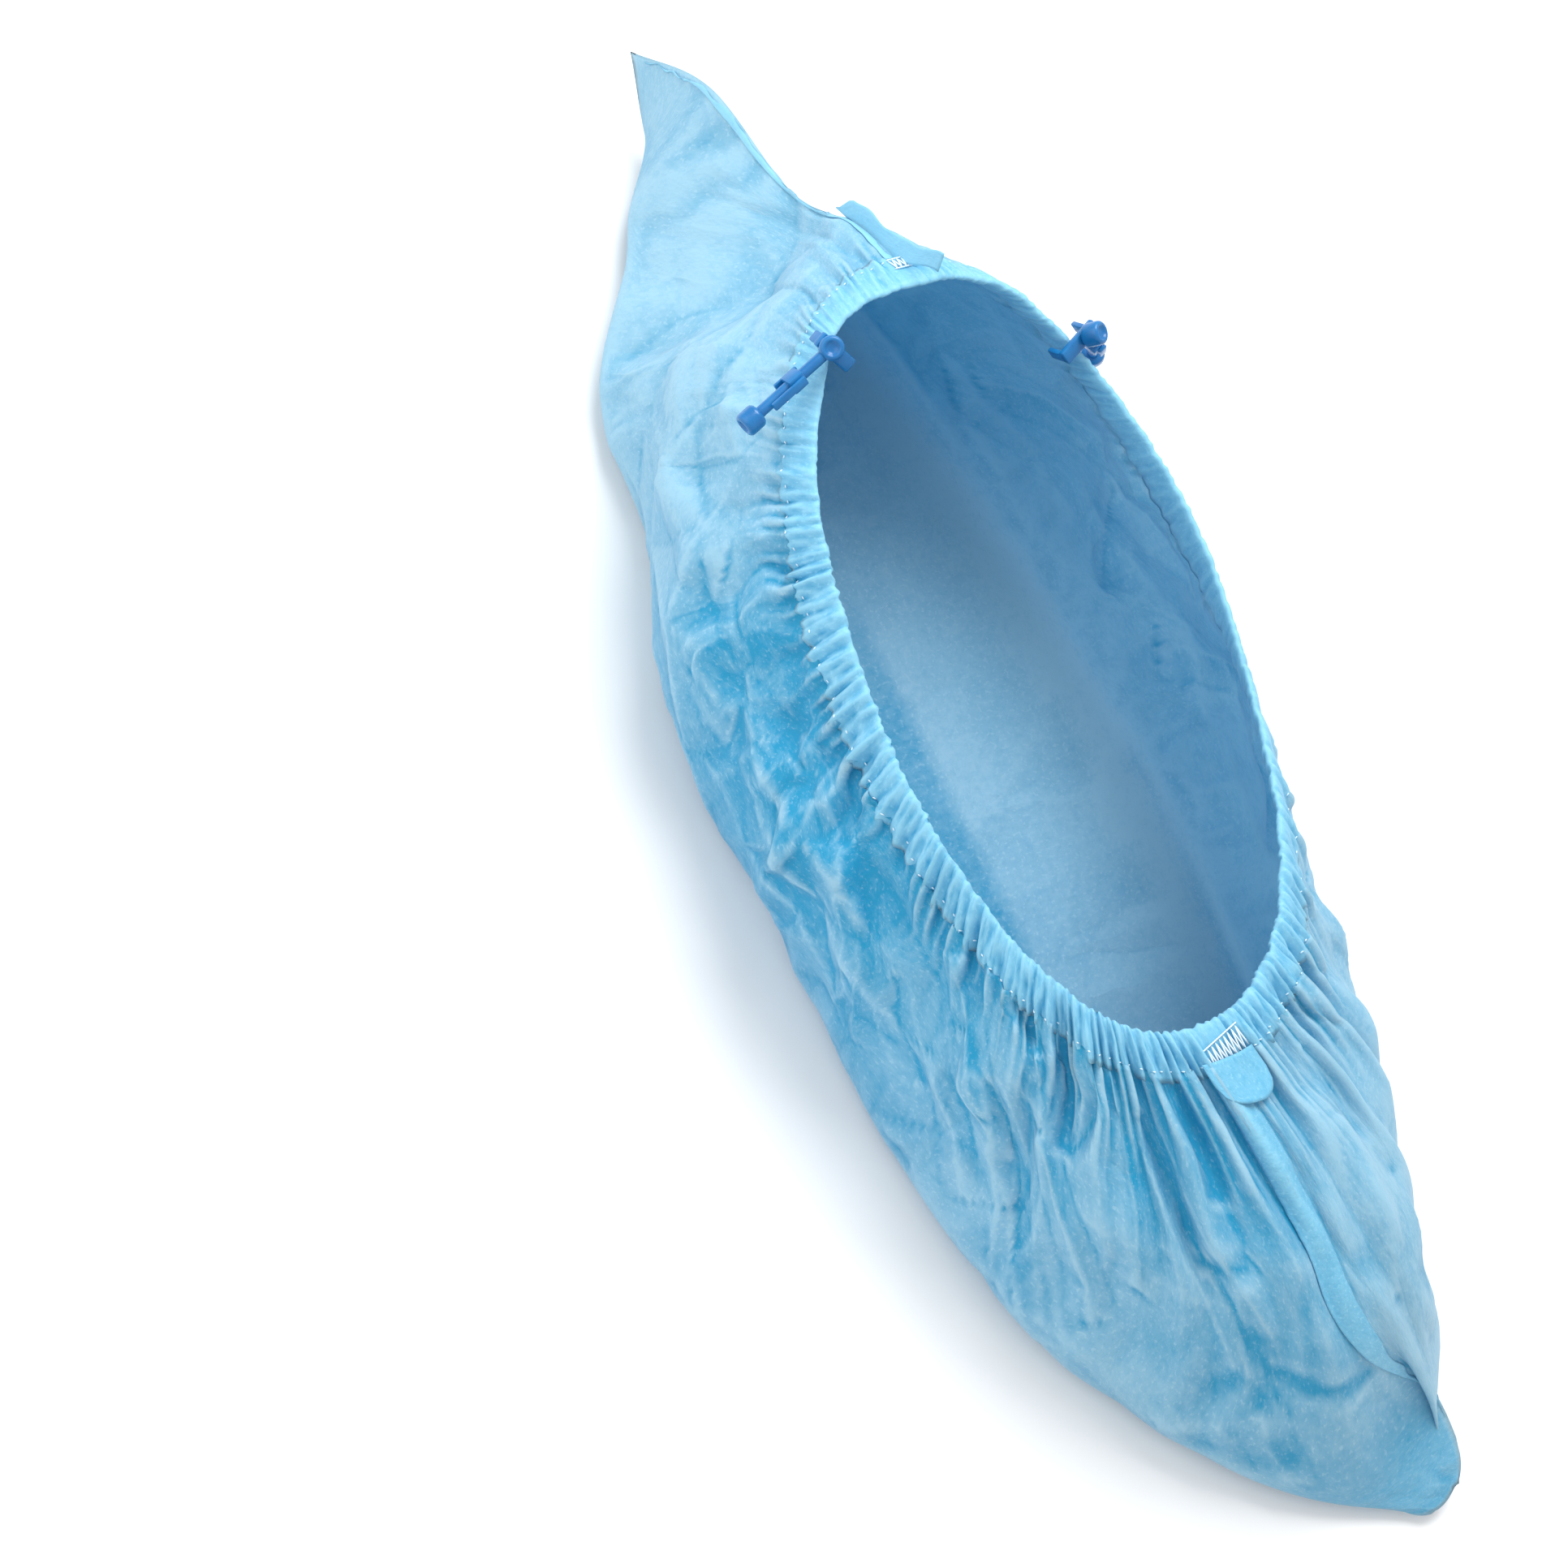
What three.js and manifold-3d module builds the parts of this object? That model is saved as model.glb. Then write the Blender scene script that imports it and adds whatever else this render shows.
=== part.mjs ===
// Disposable shoe cover: a soft nonwoven bag with an elastic mouth, standing open on its sole as it is worn.
// Millimetres, +Z up. The heel points to +Y, the toe to -Y, the near side is -X and the far side is +X.
import * as THREE from 'three';
import { mergeVertices } from 'three/addons/utils/BufferGeometryUtils.js';
import Module from 'manifold-3d';

// Cloth: one rectangular blank, folded along the middle of the sole and sewn at both short edges.
const BLANK_LENGTH = 400;
const WALL = 1.4;
const GAP = 0.4;
const NEAR = -1;
const FAR = 1;

// Grid of the shell: columns run from the heel seam to the toe seam, rows from the sole's middle up.
const COLUMNS = 68;
const ROWS_ON_SOLE = 2;
const ROWS_ON_WALL = 12;
const ROWS = ROWS_ON_SOLE + ROWS_ON_WALL;
const GUIDE_SPANS = 4;
const SLOPE_STEP = 0.004;

// The hollow stops this far from the two seams, where the layers are sewn together.
const HEEL_SEAM_ALLOWANCE = 10;
const TOE_SEAM_ALLOWANCE = 4;

// Mouth: an egg seen from above, higher at its back and front than at its sides.
const MOUTH_BACK = 137;
const MOUTH_FRONT = -48;
const MOUTH_FRONT_SHIFT = -5;
const MOUTH_FULLNESS = { near: 0.8, far: 1 };
const MOUTH_HALF_WIDTH = { near: 49, far: 53 };
const MOUTH_SIDE_HEIGHT = { near: 61, far: 57 };
const MOUTH_BACK_HEIGHT = 76;
const MOUTH_FRONT_HEIGHT = 68;

// Shoulder of the wall between its belly and the mouth.
const SHOULDER_SHARE = 0.58;
const SHOULDER_RISE = 3;

// Sections of the worn bag, one row for each line across the blank. flat is the distance from the heel
// seam on the flat blank. The sole point is on the fold, the edge is where the sole turns up and the belly
// is the widest part of the wall. The first and last rows are the seams, where both sides meet.
const SECTIONS = table(
  ['flat', 'sole_x', 'sole_y', 'sole_z', 'edge_near', 'edge_far', 'edge_y', 'edge_z',
    'belly_near', 'belly_far', 'belly_y', 'belly_z'],
  [
    [0, 2, 228, 8, 1, 1, 206, 36, 0, 0, 171, 53],
    [25, 1, 204, 4, -10, 7, 197, 9, -6, 5, 160, 50],
    [50, 0, 180, 1, -23, 16, 180, 7, -17, 13, 152, 46],
    [80, 0, 152, 0, -40, 32, 153, 5, -38, 30, 142, 36],
    [120, -2, 114, 0, -45, 40, 118, 3, -49, 42, 114, 30],
    [170, -2, 66, 0, -56, 48, 68, 2, -61, 52, 68, 28],
    [230, 0, 9, 0, -54, 52, 12, 2, -57, 58, 14, 32],
    [290, 2, -48, 0, -48, 50, -44, 2, -49, 53, -40, 34],
    [335, 7, -90, 0, -36, 47, -88, 3, -35, 45, -76, 38],
    [365, 15, -119, 0, -14, 44, -120, 4, -17, 34, -98, 42],
    [385, 29, -145, 1, 12, 44, -143, 6, 2, 24, -110, 43],
    [400, 41, -157, 5, 35, 35, -139, 19, 15, 15, -109, 44],
  ],
);

// Gathers: pleats that the elastic pulls into the mouth and that fade out down the wall.
const GATHER_SPACING = 22;
const GATHER_DEPTH = 1.7;
const GATHER_FADE_START = 0.45;
const SEAM_FADE = 12;
const SOLE_SHARE = 1 / GUIDE_SPANS;

// Long folds and dents. side is the side of the shell, flat and height are the fold's middle on the blank
// (height from 0 on the sole to 1 at the mouth), width and reach are its half sizes and depth is outward.
const FOLDS = table(
  ['side', 'flat', 'height', 'width', 'reach', 'slant', 'depth'],
  [
    [NEAR, 300, 0.78, 7, 0.22, 0, 3],
    [NEAR, 318, 0.72, 6, 0.3, 0, -2.8],
    [NEAR, 334, 0.74, 6, 0.3, 0, 3.2],
    [NEAR, 352, 0.72, 6, 0.3, 0, -2.4],
    [NEAR, 368, 0.7, 5, 0.3, 0, 2.8],
    [FAR, 372, 0.72, 6, 0.3, 0, 2],
    [FAR, 350, 0.72, 7, 0.28, 0, -2],
    [FAR, 322, 0.72, 8, 0.25, 0, 2.2],
    [NEAR, 110, 0.62, 11, 0.14, 60, -3.5],
    [NEAR, 150, 0.55, 12, 0.16, -50, 3.2],
    [NEAR, 182, 0.66, 10, 0.16, 70, -4],
    [NEAR, 214, 0.58, 11, 0.15, -60, 3],
    [NEAR, 244, 0.68, 10, 0.16, 50, -3.2],
    [NEAR, 60, 0.5, 9, 0.14, -40, -2.2],
    [FAR, 120, 0.6, 12, 0.15, 50, -2.6],
    [FAR, 190, 0.64, 12, 0.16, -50, 2.6],
    [FAR, 250, 0.6, 11, 0.16, 40, -2.4],
  ],
);

// Hem: a flat casing that stands on the mouth's edge.
const HEM_HEIGHT = 9;
const HEM_HALF_THICKNESS = 1.4;
const HEM_BELLY = 0.4;
const HEM_GATHER_SHARE = 0.55;

// Seam allowances: thin doubled bands that lie on the near side, at these distances from their seam.
const SEAM_THICKNESS = 1.2;
const SEAM_LIFT = 0.8;
const SEAM_BOTTOM_ROW = 3;
const SEAMS = [
  { name: 'toe_seam', column: COLUMNS, lines: [1.6, 6, 10.5] },
  { name: 'heel_seam', column: 0, lines: [1.6, 4, 7] },
];

// Hanging clips: a bar with a knob on each end that hangs outside the hem, and a block with two fingers that
// straddles the hem just below the upper knob.
const CLIP_BAR_RADIUS = 1.25;
const CLIP_KNOB_DISTANCE = 23;
const CLIP_KNOB_RADIUS = 2.7;
const CLIP_KNOB_LENGTH = 4.6;
const CLIP_KNOB_DIMPLE = 0.8;
const CLIP_SIDES = 12;
const CLIP_UPPER_KNOB = { out: 3.6, rise: 5.6 };
const CLIP_BLOCK = { inner: -4.6, outer: 6.8, along: 5, low: 2.2, high: 4.2 };
const CLIP_FINGER = { thickness: 1.2, along: 2.6, clear: 3.4, drop: 6 };
const CLIPS = [
  { name: 'hanging_clip_near', flat: 58, side: NEAR, bar: new THREE.Vector3(-0.87, -0.34, -0.36) },
  { name: 'hanging_clip_far', flat: 88, side: FAR, bar: new THREE.Vector3(0.52, 0.1, -0.85) },
];

// Finishes.
const NONWOVEN = new THREE.MeshStandardMaterial({ color: 0x8fcdea, roughness: 0.85, metalness: 0 });
const DOUBLED_NONWOVEN = new THREE.MeshStandardMaterial({ color: 0x6fc0e4, roughness: 0.8, metalness: 0 });
const CLIP_PLASTIC = new THREE.MeshStandardMaterial({ color: 0x2270b8, roughness: 0.3, metalness: 0 });

function table(columns, rows) {
  return rows.map((row) => Object.fromEntries(columns.map((name, index) => [name, row[index]])));
}

// Smooth value of one column of a table at a place between its rows.
function columnAt(rows, name, place) {
  const key = Object.keys(rows[0])[0];
  let start = 0;
  while (start < rows.length - 2 && place > rows[start + 1][key]) start += 1;
  const slope = (index) => {
    const before = rows[Math.max(index - 1, 0)];
    const after = rows[Math.min(index + 1, rows.length - 1)];
    return (after[name] - before[name]) / (after[key] - before[key]);
  };
  const low = rows[start];
  const high = rows[start + 1];
  const span = high[key] - low[key];
  const u = (place - low[key]) / span;
  const lowSlope = slope(start) * span;
  const highSlope = slope(start + 1) * span;
  const cube = 2 * (low[name] - high[name]) + lowSlope + highSlope;
  const square = 3 * (high[name] - low[name]) - 2 * lowSlope - highSlope;
  return ((cube * u + square) * u + lowSlope) * u + low[name];
}

function sideValue(pair, side) {
  return side === NEAR ? pair.near : pair.far;
}

// Point of the shell's top edge.
function mouthPoint(flat, side) {
  const turn = Math.PI * flat / BLANK_LENGTH;
  const forward = (1 - Math.cos(turn)) / 2;
  const sideways = Math.sin(turn) ** sideValue(MOUTH_FULLNESS, side);
  const endHeight = THREE.MathUtils.lerp(MOUTH_BACK_HEIGHT, MOUTH_FRONT_HEIGHT, forward);
  const sideHeight = sideValue(MOUTH_SIDE_HEIGHT, side);
  return new THREE.Vector3(
    MOUTH_FRONT_SHIFT * forward + side * sideValue(MOUTH_HALF_WIDTH, side) * sideways,
    THREE.MathUtils.lerp(MOUTH_BACK, MOUTH_FRONT, forward),
    THREE.MathUtils.lerp(endHeight, sideHeight, sideways * sideways),
  );
}

// Line across the worn bag, from the sole's middle over its edge and up the wall to the mouth.
function guideCurve(flat, side) {
  const at = (name) => columnAt(SECTIONS, name, flat);
  const suffix = side === NEAR ? 'near' : 'far';
  const sole = new THREE.Vector3(at('sole_x'), at('sole_y'), at('sole_z'));
  const edge = new THREE.Vector3(at(`edge_${suffix}`), at('edge_y'), at('edge_z'));
  const belly = new THREE.Vector3(at(`belly_${suffix}`), at('belly_y'), at('belly_z'));
  const mouth = mouthPoint(flat, side);
  const shoulder = belly.clone().lerp(mouth, SHOULDER_SHARE);
  shoulder.z += SHOULDER_RISE;
  return new THREE.CatmullRomCurve3([sole, edge, belly, shoulder, mouth], false, 'centripetal');
}

// Smooth worn form without folds, flat on the ground under the sole.
function wornPoint(flat, height, side) {
  const point = guideCurve(flat, side).getPoint(height);
  point.z = Math.max(point.z, 0);
  return point;
}

function outwardNormal(flat, height, side) {
  const flatStep = SLOPE_STEP * BLANK_LENGTH;
  const before = Math.max(flat - flatStep, 0);
  const after = Math.min(flat + flatStep, BLANK_LENGTH);
  const low = Math.max(height - SLOPE_STEP, 0);
  const high = Math.min(height + SLOPE_STEP, 1);
  const lengthwise = wornPoint(after, height, side).sub(wornPoint(before, height, side));
  const upwards = wornPoint(flat, high, side).sub(wornPoint(flat, low, side));
  return lengthwise.cross(upwards).multiplyScalar(-side).normalize();
}

// Share that falls to zero at the two seams, so both sides stay joined there.
function seamShare(flat) {
  const distance = Math.min(flat, BLANK_LENGTH - flat);
  return THREE.MathUtils.smoothstep(distance, 0, SEAM_FADE);
}

// Wave of the gathers along the mouth, with an uneven beat.
function gatherWave(flat, side) {
  const unevenness = 0.35 * Math.sin(flat / 31 + side) + 0.2 * Math.sin(flat / 13 + 2 * side);
  const beat = flat / GATHER_SPACING + unevenness;
  return Math.cos(2 * Math.PI * beat) * (0.8 + 0.2 * Math.sin(flat / 17));
}

function foldDepth(flat, height, side) {
  const gatherShare = THREE.MathUtils.smoothstep(height, GATHER_FADE_START, 1);
  const gather = GATHER_DEPTH * gatherWave(flat, side) * gatherShare;
  let folds = 0;
  for (const fold of FOLDS) {
    if (fold.side !== side) continue;
    const rise = (height - fold.height) / fold.reach;
    const shift = (flat - fold.flat - fold.slant * (height - fold.height)) / fold.width;
    folds += fold.depth * Math.exp(-rise * rise - shift * shift);
  }
  return (gather + folds * THREE.MathUtils.smoothstep(height, 0, SOLE_SHARE)) * seamShare(flat);
}

// Point of the shell's outer skin, or of its inner skin when inset is the wall.
function skinPoint(flat, height, side, inset = 0) {
  const point = wornPoint(flat, height, side);
  const normal = outwardNormal(flat, height, side);
  if (height === 0) {
    normal.add(outwardNormal(flat, height, -side)).normalize();
  }
  return point.addScaledVector(normal, foldDepth(flat, height, side) - inset);
}

function columnFlat(column) {
  return BLANK_LENGTH * column / COLUMNS;
}

function rowHeight(row) {
  if (row <= ROWS_ON_SOLE) return row / ROWS_ON_SOLE / GUIDE_SPANS;
  return (1 + (GUIDE_SPANS - 1) * (row - ROWS_ON_SOLE) / ROWS_ON_WALL) / GUIDE_SPANS;
}

function outerPoint(column, row, side) {
  if (column === 0 || column === COLUMNS) return wornPoint(columnFlat(column), rowHeight(row), FAR);
  const point = skinPoint(columnFlat(column), rowHeight(row), side);
  point.z = Math.max(point.z, 0);
  return point;
}

// Inner skin: one wall inside the outer one, with its own two ends closed on the middle between both sides.
function innerPoint(column, row, side) {
  const length = BLANK_LENGTH - HEEL_SEAM_ALLOWANCE - TOE_SEAM_ALLOWANCE;
  const flat = HEEL_SEAM_ALLOWANCE + length * column / COLUMNS;
  const height = rowHeight(row);
  const point = skinPoint(flat, height, side, WALL);
  if (column > 0 && column < COLUMNS) return point;
  return point.add(skinPoint(flat, height, -side, WALL)).multiplyScalar(0.5);
}

// Two triangles between four corners, turned over when flipped.
function quad(corners, flipped) {
  const [a, b, c, d] = corners;
  return flipped ? [a, c, b, a, d, c] : [a, b, c, a, c, d];
}

function solidFrom(points) {
  const geometry = new THREE.BufferGeometry().setFromPoints(points);
  const merged = mergeVertices(geometry, 1e-3);
  merged.computeVertexNormals();
  return merged;
}

function shellGeometry() {
  const points = [];
  for (const side of [NEAR, FAR]) {
    for (let column = 0; column < COLUMNS; column += 1) {
      for (let row = 0; row < ROWS; row += 1) {
        const cell = [[column, row], [column + 1, row], [column + 1, row + 1], [column, row + 1]];
        // The toe half is split along the other diagonal, so that its tip has two sides as the heel's has.
        if (column >= COLUMNS / 2) cell.push(cell.shift());
        points.push(...quad(cell.map(([i, j]) => outerPoint(i, j, side)), side === FAR));
        points.push(...quad(cell.map(([i, j]) => innerPoint(i, j, side)), side === NEAR));
      }
      const lip = [
        outerPoint(column, ROWS, side), outerPoint(column + 1, ROWS, side),
        innerPoint(column + 1, ROWS, side), innerPoint(column, ROWS, side),
      ];
      points.push(...quad(lip, side === FAR));
    }
  }
  return solidFrom(points);
}

// Ring of sections, closed on itself.
function ringGeometry(sections) {
  const points = [];
  sections.forEach((section, index) => {
    const next = sections[(index + 1) % sections.length];
    section.forEach((point, corner) => {
      const turn = (corner + 1) % section.length;
      points.push(...quad([point, next[corner], next[turn], section[turn]], true));
    });
  });
  return solidFrom(points);
}

// Frame of the mouth's edge: the middle of the wall, the way up along it and the way out.
function edgeFrame(flat, side) {
  const atSeam = flat === 0 || flat === BLANK_LENGTH;
  const out = outwardNormal(flat, 1, side);
  const up = wornPoint(flat, 1, side).sub(wornPoint(flat, 1 - 1 / GUIDE_SPANS, side)).normalize();
  if (atSeam) {
    out.add(outwardNormal(flat, 1, -side)).normalize();
  }
  const base = wornPoint(flat, 1, side).addScaledVector(out, -WALL / 2);
  return { base, up, out, wave: foldDepth(flat, 1, side) };
}

// Section of the hem: flat casing with a slight belly, gathered with the mouth below it.
function hemSection(flat, side) {
  const { base, up, out, wave } = edgeFrame(flat, side);
  const place = (height, offset) => {
    const gather = wave * THREE.MathUtils.lerp(1, HEM_GATHER_SHARE, height / HEM_HEIGHT);
    return base.clone().addScaledVector(up, GAP + height).addScaledVector(out, gather + offset);
  };
  const belly = HEM_HALF_THICKNESS + HEM_BELLY;
  return [
    place(0, -HEM_HALF_THICKNESS), place(HEM_HEIGHT / 2, -belly), place(HEM_HEIGHT, -HEM_HALF_THICKNESS),
    place(HEM_HEIGHT, HEM_HALF_THICKNESS), place(HEM_HEIGHT / 2, belly), place(0, HEM_HALF_THICKNESS),
  ];
}

function hemGeometry() {
  const sections = [];
  for (let column = 0; column < COLUMNS; column += 1) sections.push(hemSection(columnFlat(column), NEAR));
  for (let column = COLUMNS; column > 0; column -= 1) sections.push(hemSection(columnFlat(column), FAR));
  return ringGeometry(sections);
}

// Point on a row of the near skin at a straight distance from the seam, with the way out there.
function besideSeam(seamColumn, row, distance) {
  const step = seamColumn === 0 ? 1 : -1;
  const seam = outerPoint(seamColumn, row, NEAR);
  let column = seamColumn;
  while (outerPoint(column + step, row, NEAR).distanceTo(seam) < distance) column += step;
  const start = outerPoint(column, row, NEAR);
  const end = outerPoint(column + step, row, NEAR);
  const startDistance = start.distanceTo(seam);
  const share = (distance - startDistance) / (end.distanceTo(seam) - startDistance);
  const out = outwardNormal(columnFlat(column + step), rowHeight(row), NEAR);
  return { point: start.lerp(end, share), out };
}

// Doubled band beside a seam, lifted off the shell. Its lines run from the sole up to the mouth.
function seamGeometry({ column: seamColumn, lines }) {
  const fromHeel = seamColumn === 0 ? lines : [...lines].reverse();
  const layer = (lift) => fromHeel.map((distance) => {
    const line = [];
    for (let row = SEAM_BOTTOM_ROW; row <= ROWS; row += 1) {
      const { point, out } = besideSeam(seamColumn, row, distance);
      line.push(point.addScaledVector(out, lift));
    }
    return line;
  });
  const under = layer(SEAM_LIFT);
  const over = layer(SEAM_LIFT + SEAM_THICKNESS);
  const last = lines.length - 1;
  const rows = ROWS - SEAM_BOTTOM_ROW;
  const points = [];
  for (let row = 0; row < rows; row += 1) {
    for (let column = 0; column < last; column += 1) {
      const cell = [[column, row], [column + 1, row], [column + 1, row + 1], [column, row + 1]];
      points.push(...quad(cell.map(([i, j]) => over[i][j]), false));
      points.push(...quad(cell.map(([i, j]) => under[i][j]), true));
    }
    const edge = (line) => [under[line][row], under[line][row + 1], over[line][row + 1], over[line][row]];
    points.push(...quad(edge(0), true));
    points.push(...quad(edge(last), false));
  }
  for (let column = 0; column < last; column += 1) {
    const next = column + 1;
    const end = (row) => [under[column][row], under[next][row], over[next][row], over[column][row]];
    points.push(...quad(end(0), false));
    points.push(...quad(end(rows), true));
  }
  return solidFrom(points);
}

const wasm = await Module();
wasm.setup();

function manifoldFrom(geometry) {
  const bare = geometry.clone();
  bare.deleteAttribute('normal');
  bare.deleteAttribute('uv');
  const merged = mergeVertices(bare, 1e-4);
  return new wasm.Manifold(new wasm.Mesh({
    numProp: 3,
    vertProperties: new Float32Array(merged.attributes.position.array),
    triVerts: new Uint32Array(merged.index.array),
  }));
}

function joined(geometries) {
  const solid = geometries.map(manifoldFrom).reduce((all, next) => all.add(next));
  const mesh = solid.getMesh();
  const geometry = new THREE.BufferGeometry();
  geometry.setAttribute('position', new THREE.BufferAttribute(new Float32Array(mesh.vertProperties), 3));
  geometry.setIndex(new THREE.BufferAttribute(new Uint32Array(mesh.triVerts), 1));
  geometry.computeVertexNormals();
  return geometry;
}

// Round knob with a dimple in its outer face, on the Y axis.
function knobGeometry() {
  const half = CLIP_KNOB_LENGTH / 2;
  const neck = CLIP_KNOB_RADIUS * 0.8;
  const profile = [
    [0, -half], [neck, -half], [CLIP_KNOB_RADIUS, -half * 0.6], [CLIP_KNOB_RADIUS, half * 0.6],
    [neck, half], [neck * 0.7, half], [0, half - CLIP_KNOB_DIMPLE],
  ];
  return new THREE.LatheGeometry(profile.map(([x, y]) => new THREE.Vector2(x, y)), CLIP_SIDES);
}

// Box between two corners of the grip's own frame.
function gripBox(low, high, grip) {
  const size = high.clone().sub(low);
  const centre = high.clone().add(low).multiplyScalar(0.5);
  const geometry = new THREE.BoxGeometry(size.x, size.y, size.z);
  return geometry.translate(centre.x, centre.y, centre.z).applyMatrix4(grip);
}

function clipGeometry({ flat, side, bar }) {
  const { base, up, out, wave } = edgeFrame(flat, side);
  const top = base.addScaledVector(up, GAP + HEM_HEIGHT).addScaledVector(out, wave * HEM_GATHER_SHARE);
  const along = up.clone().cross(out).normalize();
  const rise = out.clone().cross(along).normalize();
  const grip = new THREE.Matrix4().makeBasis(out, along, rise).setPosition(top);
  const axis = bar.clone().normalize();
  const turn = new THREE.Quaternion().setFromUnitVectors(new THREE.Vector3(0, 1, 0), axis);
  const knob = new THREE.Vector3(CLIP_UPPER_KNOB.out, 0, CLIP_UPPER_KNOB.rise).applyMatrix4(grip);
  const onBar = (geometry, distance) => {
    geometry.translate(0, distance, 0).applyQuaternion(turn);
    return geometry.translate(knob.x, knob.y, knob.z);
  };
  const rod = new THREE.CylinderGeometry(CLIP_BAR_RADIUS, CLIP_BAR_RADIUS, CLIP_KNOB_DISTANCE, CLIP_SIDES);
  const half = CLIP_BLOCK.along / 2;
  const pieces = [
    onBar(rod, CLIP_KNOB_DISTANCE / 2),
    onBar(knobGeometry(), CLIP_KNOB_DISTANCE),
    onBar(knobGeometry().rotateX(Math.PI), 0),
    gripBox(
      new THREE.Vector3(CLIP_BLOCK.inner, -half, CLIP_BLOCK.low),
      new THREE.Vector3(CLIP_BLOCK.outer, half, CLIP_BLOCK.high),
      grip,
    ),
  ];
  for (const way of [-1, 1]) {
    const face = way * CLIP_FINGER.clear;
    const back = way * (CLIP_FINGER.clear + CLIP_FINGER.thickness);
    pieces.push(gripBox(
      new THREE.Vector3(Math.min(face, back), -CLIP_FINGER.along / 2, CLIP_BLOCK.high - CLIP_FINGER.drop),
      new THREE.Vector3(Math.max(face, back), CLIP_FINGER.along / 2, CLIP_BLOCK.high - GAP),
      grip,
    ));
  }
  return joined(pieces);
}

function piece(name, geometry, material) {
  const mesh = new THREE.Mesh(geometry, material);
  mesh.name = name;
  return mesh;
}

const cover = new THREE.Group();
cover.add(piece('cover_shell', shellGeometry(), NONWOVEN));
cover.add(piece('elastic_hem', hemGeometry(), DOUBLED_NONWOVEN));
for (const seam of SEAMS) cover.add(piece(seam.name, seamGeometry(seam), DOUBLED_NONWOVEN));
for (const clip of CLIPS) cover.add(piece(clip.name, clipGeometry(clip), CLIP_PLASTIC));

// The origin is the middle of the box that holds the cover, on the ground.
const box = new THREE.Box3().setFromObject(cover);
const middle = box.getCenter(new THREE.Vector3());
cover.position.set(-middle.x, -middle.y, -box.min.z);

export default cover;
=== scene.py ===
# %% [markdown]
# # A disposable shoe cover
# The real cover is one rectangle of thin blue nonwoven. It is folded along the middle of the sole, sewn at
# the toe and at the heel, and hemmed round the mouth over an elastic that gathers it. Two plastic clips
# hang on the hem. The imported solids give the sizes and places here, and this lesson dresses them piece by
# piece.

import math
from functools import lru_cache

import bmesh
import bpy
from mathutils import Matrix, Vector, noise


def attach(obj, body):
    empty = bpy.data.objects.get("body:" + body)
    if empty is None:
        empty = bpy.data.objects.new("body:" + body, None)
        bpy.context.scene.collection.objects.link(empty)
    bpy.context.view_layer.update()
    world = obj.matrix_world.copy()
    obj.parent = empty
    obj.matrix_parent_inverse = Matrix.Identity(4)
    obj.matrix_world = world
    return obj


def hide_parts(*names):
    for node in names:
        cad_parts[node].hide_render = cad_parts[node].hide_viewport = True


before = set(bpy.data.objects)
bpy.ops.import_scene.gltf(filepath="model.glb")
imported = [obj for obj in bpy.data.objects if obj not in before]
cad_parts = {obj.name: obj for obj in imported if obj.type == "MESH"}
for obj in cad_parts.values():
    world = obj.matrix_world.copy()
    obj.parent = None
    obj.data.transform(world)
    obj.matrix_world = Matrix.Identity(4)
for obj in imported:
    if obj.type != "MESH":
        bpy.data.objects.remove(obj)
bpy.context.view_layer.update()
MM = 0.001

# %% [markdown]
# ## Camera
# The picture looks down on the cover from above its near side, with the camera rolled so that the heel
# points up. Azimuth, elevation and roll say that in three plain numbers, and a matrix of the three axes
# turns the camera that way. Aiming with a constraint would lose the roll.

# %% Set the camera
CAMERA_PLACE = Vector((-355.4, -113.3, 598.1)) * MM
CAMERA_LENS = 70
AZIMUTH = math.radians(-68)
ELEVATION = math.radians(60)
ROLL = math.radians(46.5)

back = Vector((
    math.sin(AZIMUTH) * math.cos(ELEVATION),
    -math.cos(AZIMUTH) * math.cos(ELEVATION),
    math.sin(ELEVATION),
))
level = Vector((math.cos(AZIMUTH), math.sin(AZIMUTH), 0))
upright = back.cross(level)
right = level * math.cos(ROLL) + upright * math.sin(ROLL)
camera_axes = Matrix((right, back.cross(right), back)).transposed()

camera_data = bpy.data.cameras.new("camera")
camera_data.lens = CAMERA_LENS
camera = bpy.data.objects.new("camera", camera_data)
camera.matrix_world = Matrix.LocRotScale(CAMERA_PLACE, camera_axes, None)
bpy.context.scene.collection.objects.link(camera)
bpy.context.scene.camera = camera
print("camera looks along", [round(v, 3) for v in -back])

# %% [markdown]
# ## The worn form
# A worn cover is a bag that is pushed into shape from inside. A few sections across the blank describe it:
# each row below gives the fold under the sole, the edge where the sole turns up, and the belly of the wall.
# A smooth curve runs through these points up to the mouth. Nearly the same rows shaped the solids, so the
# cloth lies on them.

# %% Sections of the worn bag
from collections import namedtuple

BLANK_LENGTH = 400
NEAR = -1
FAR = 1
TABLE_ORIGIN = Vector((1.78, -35.5, 0))

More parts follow.
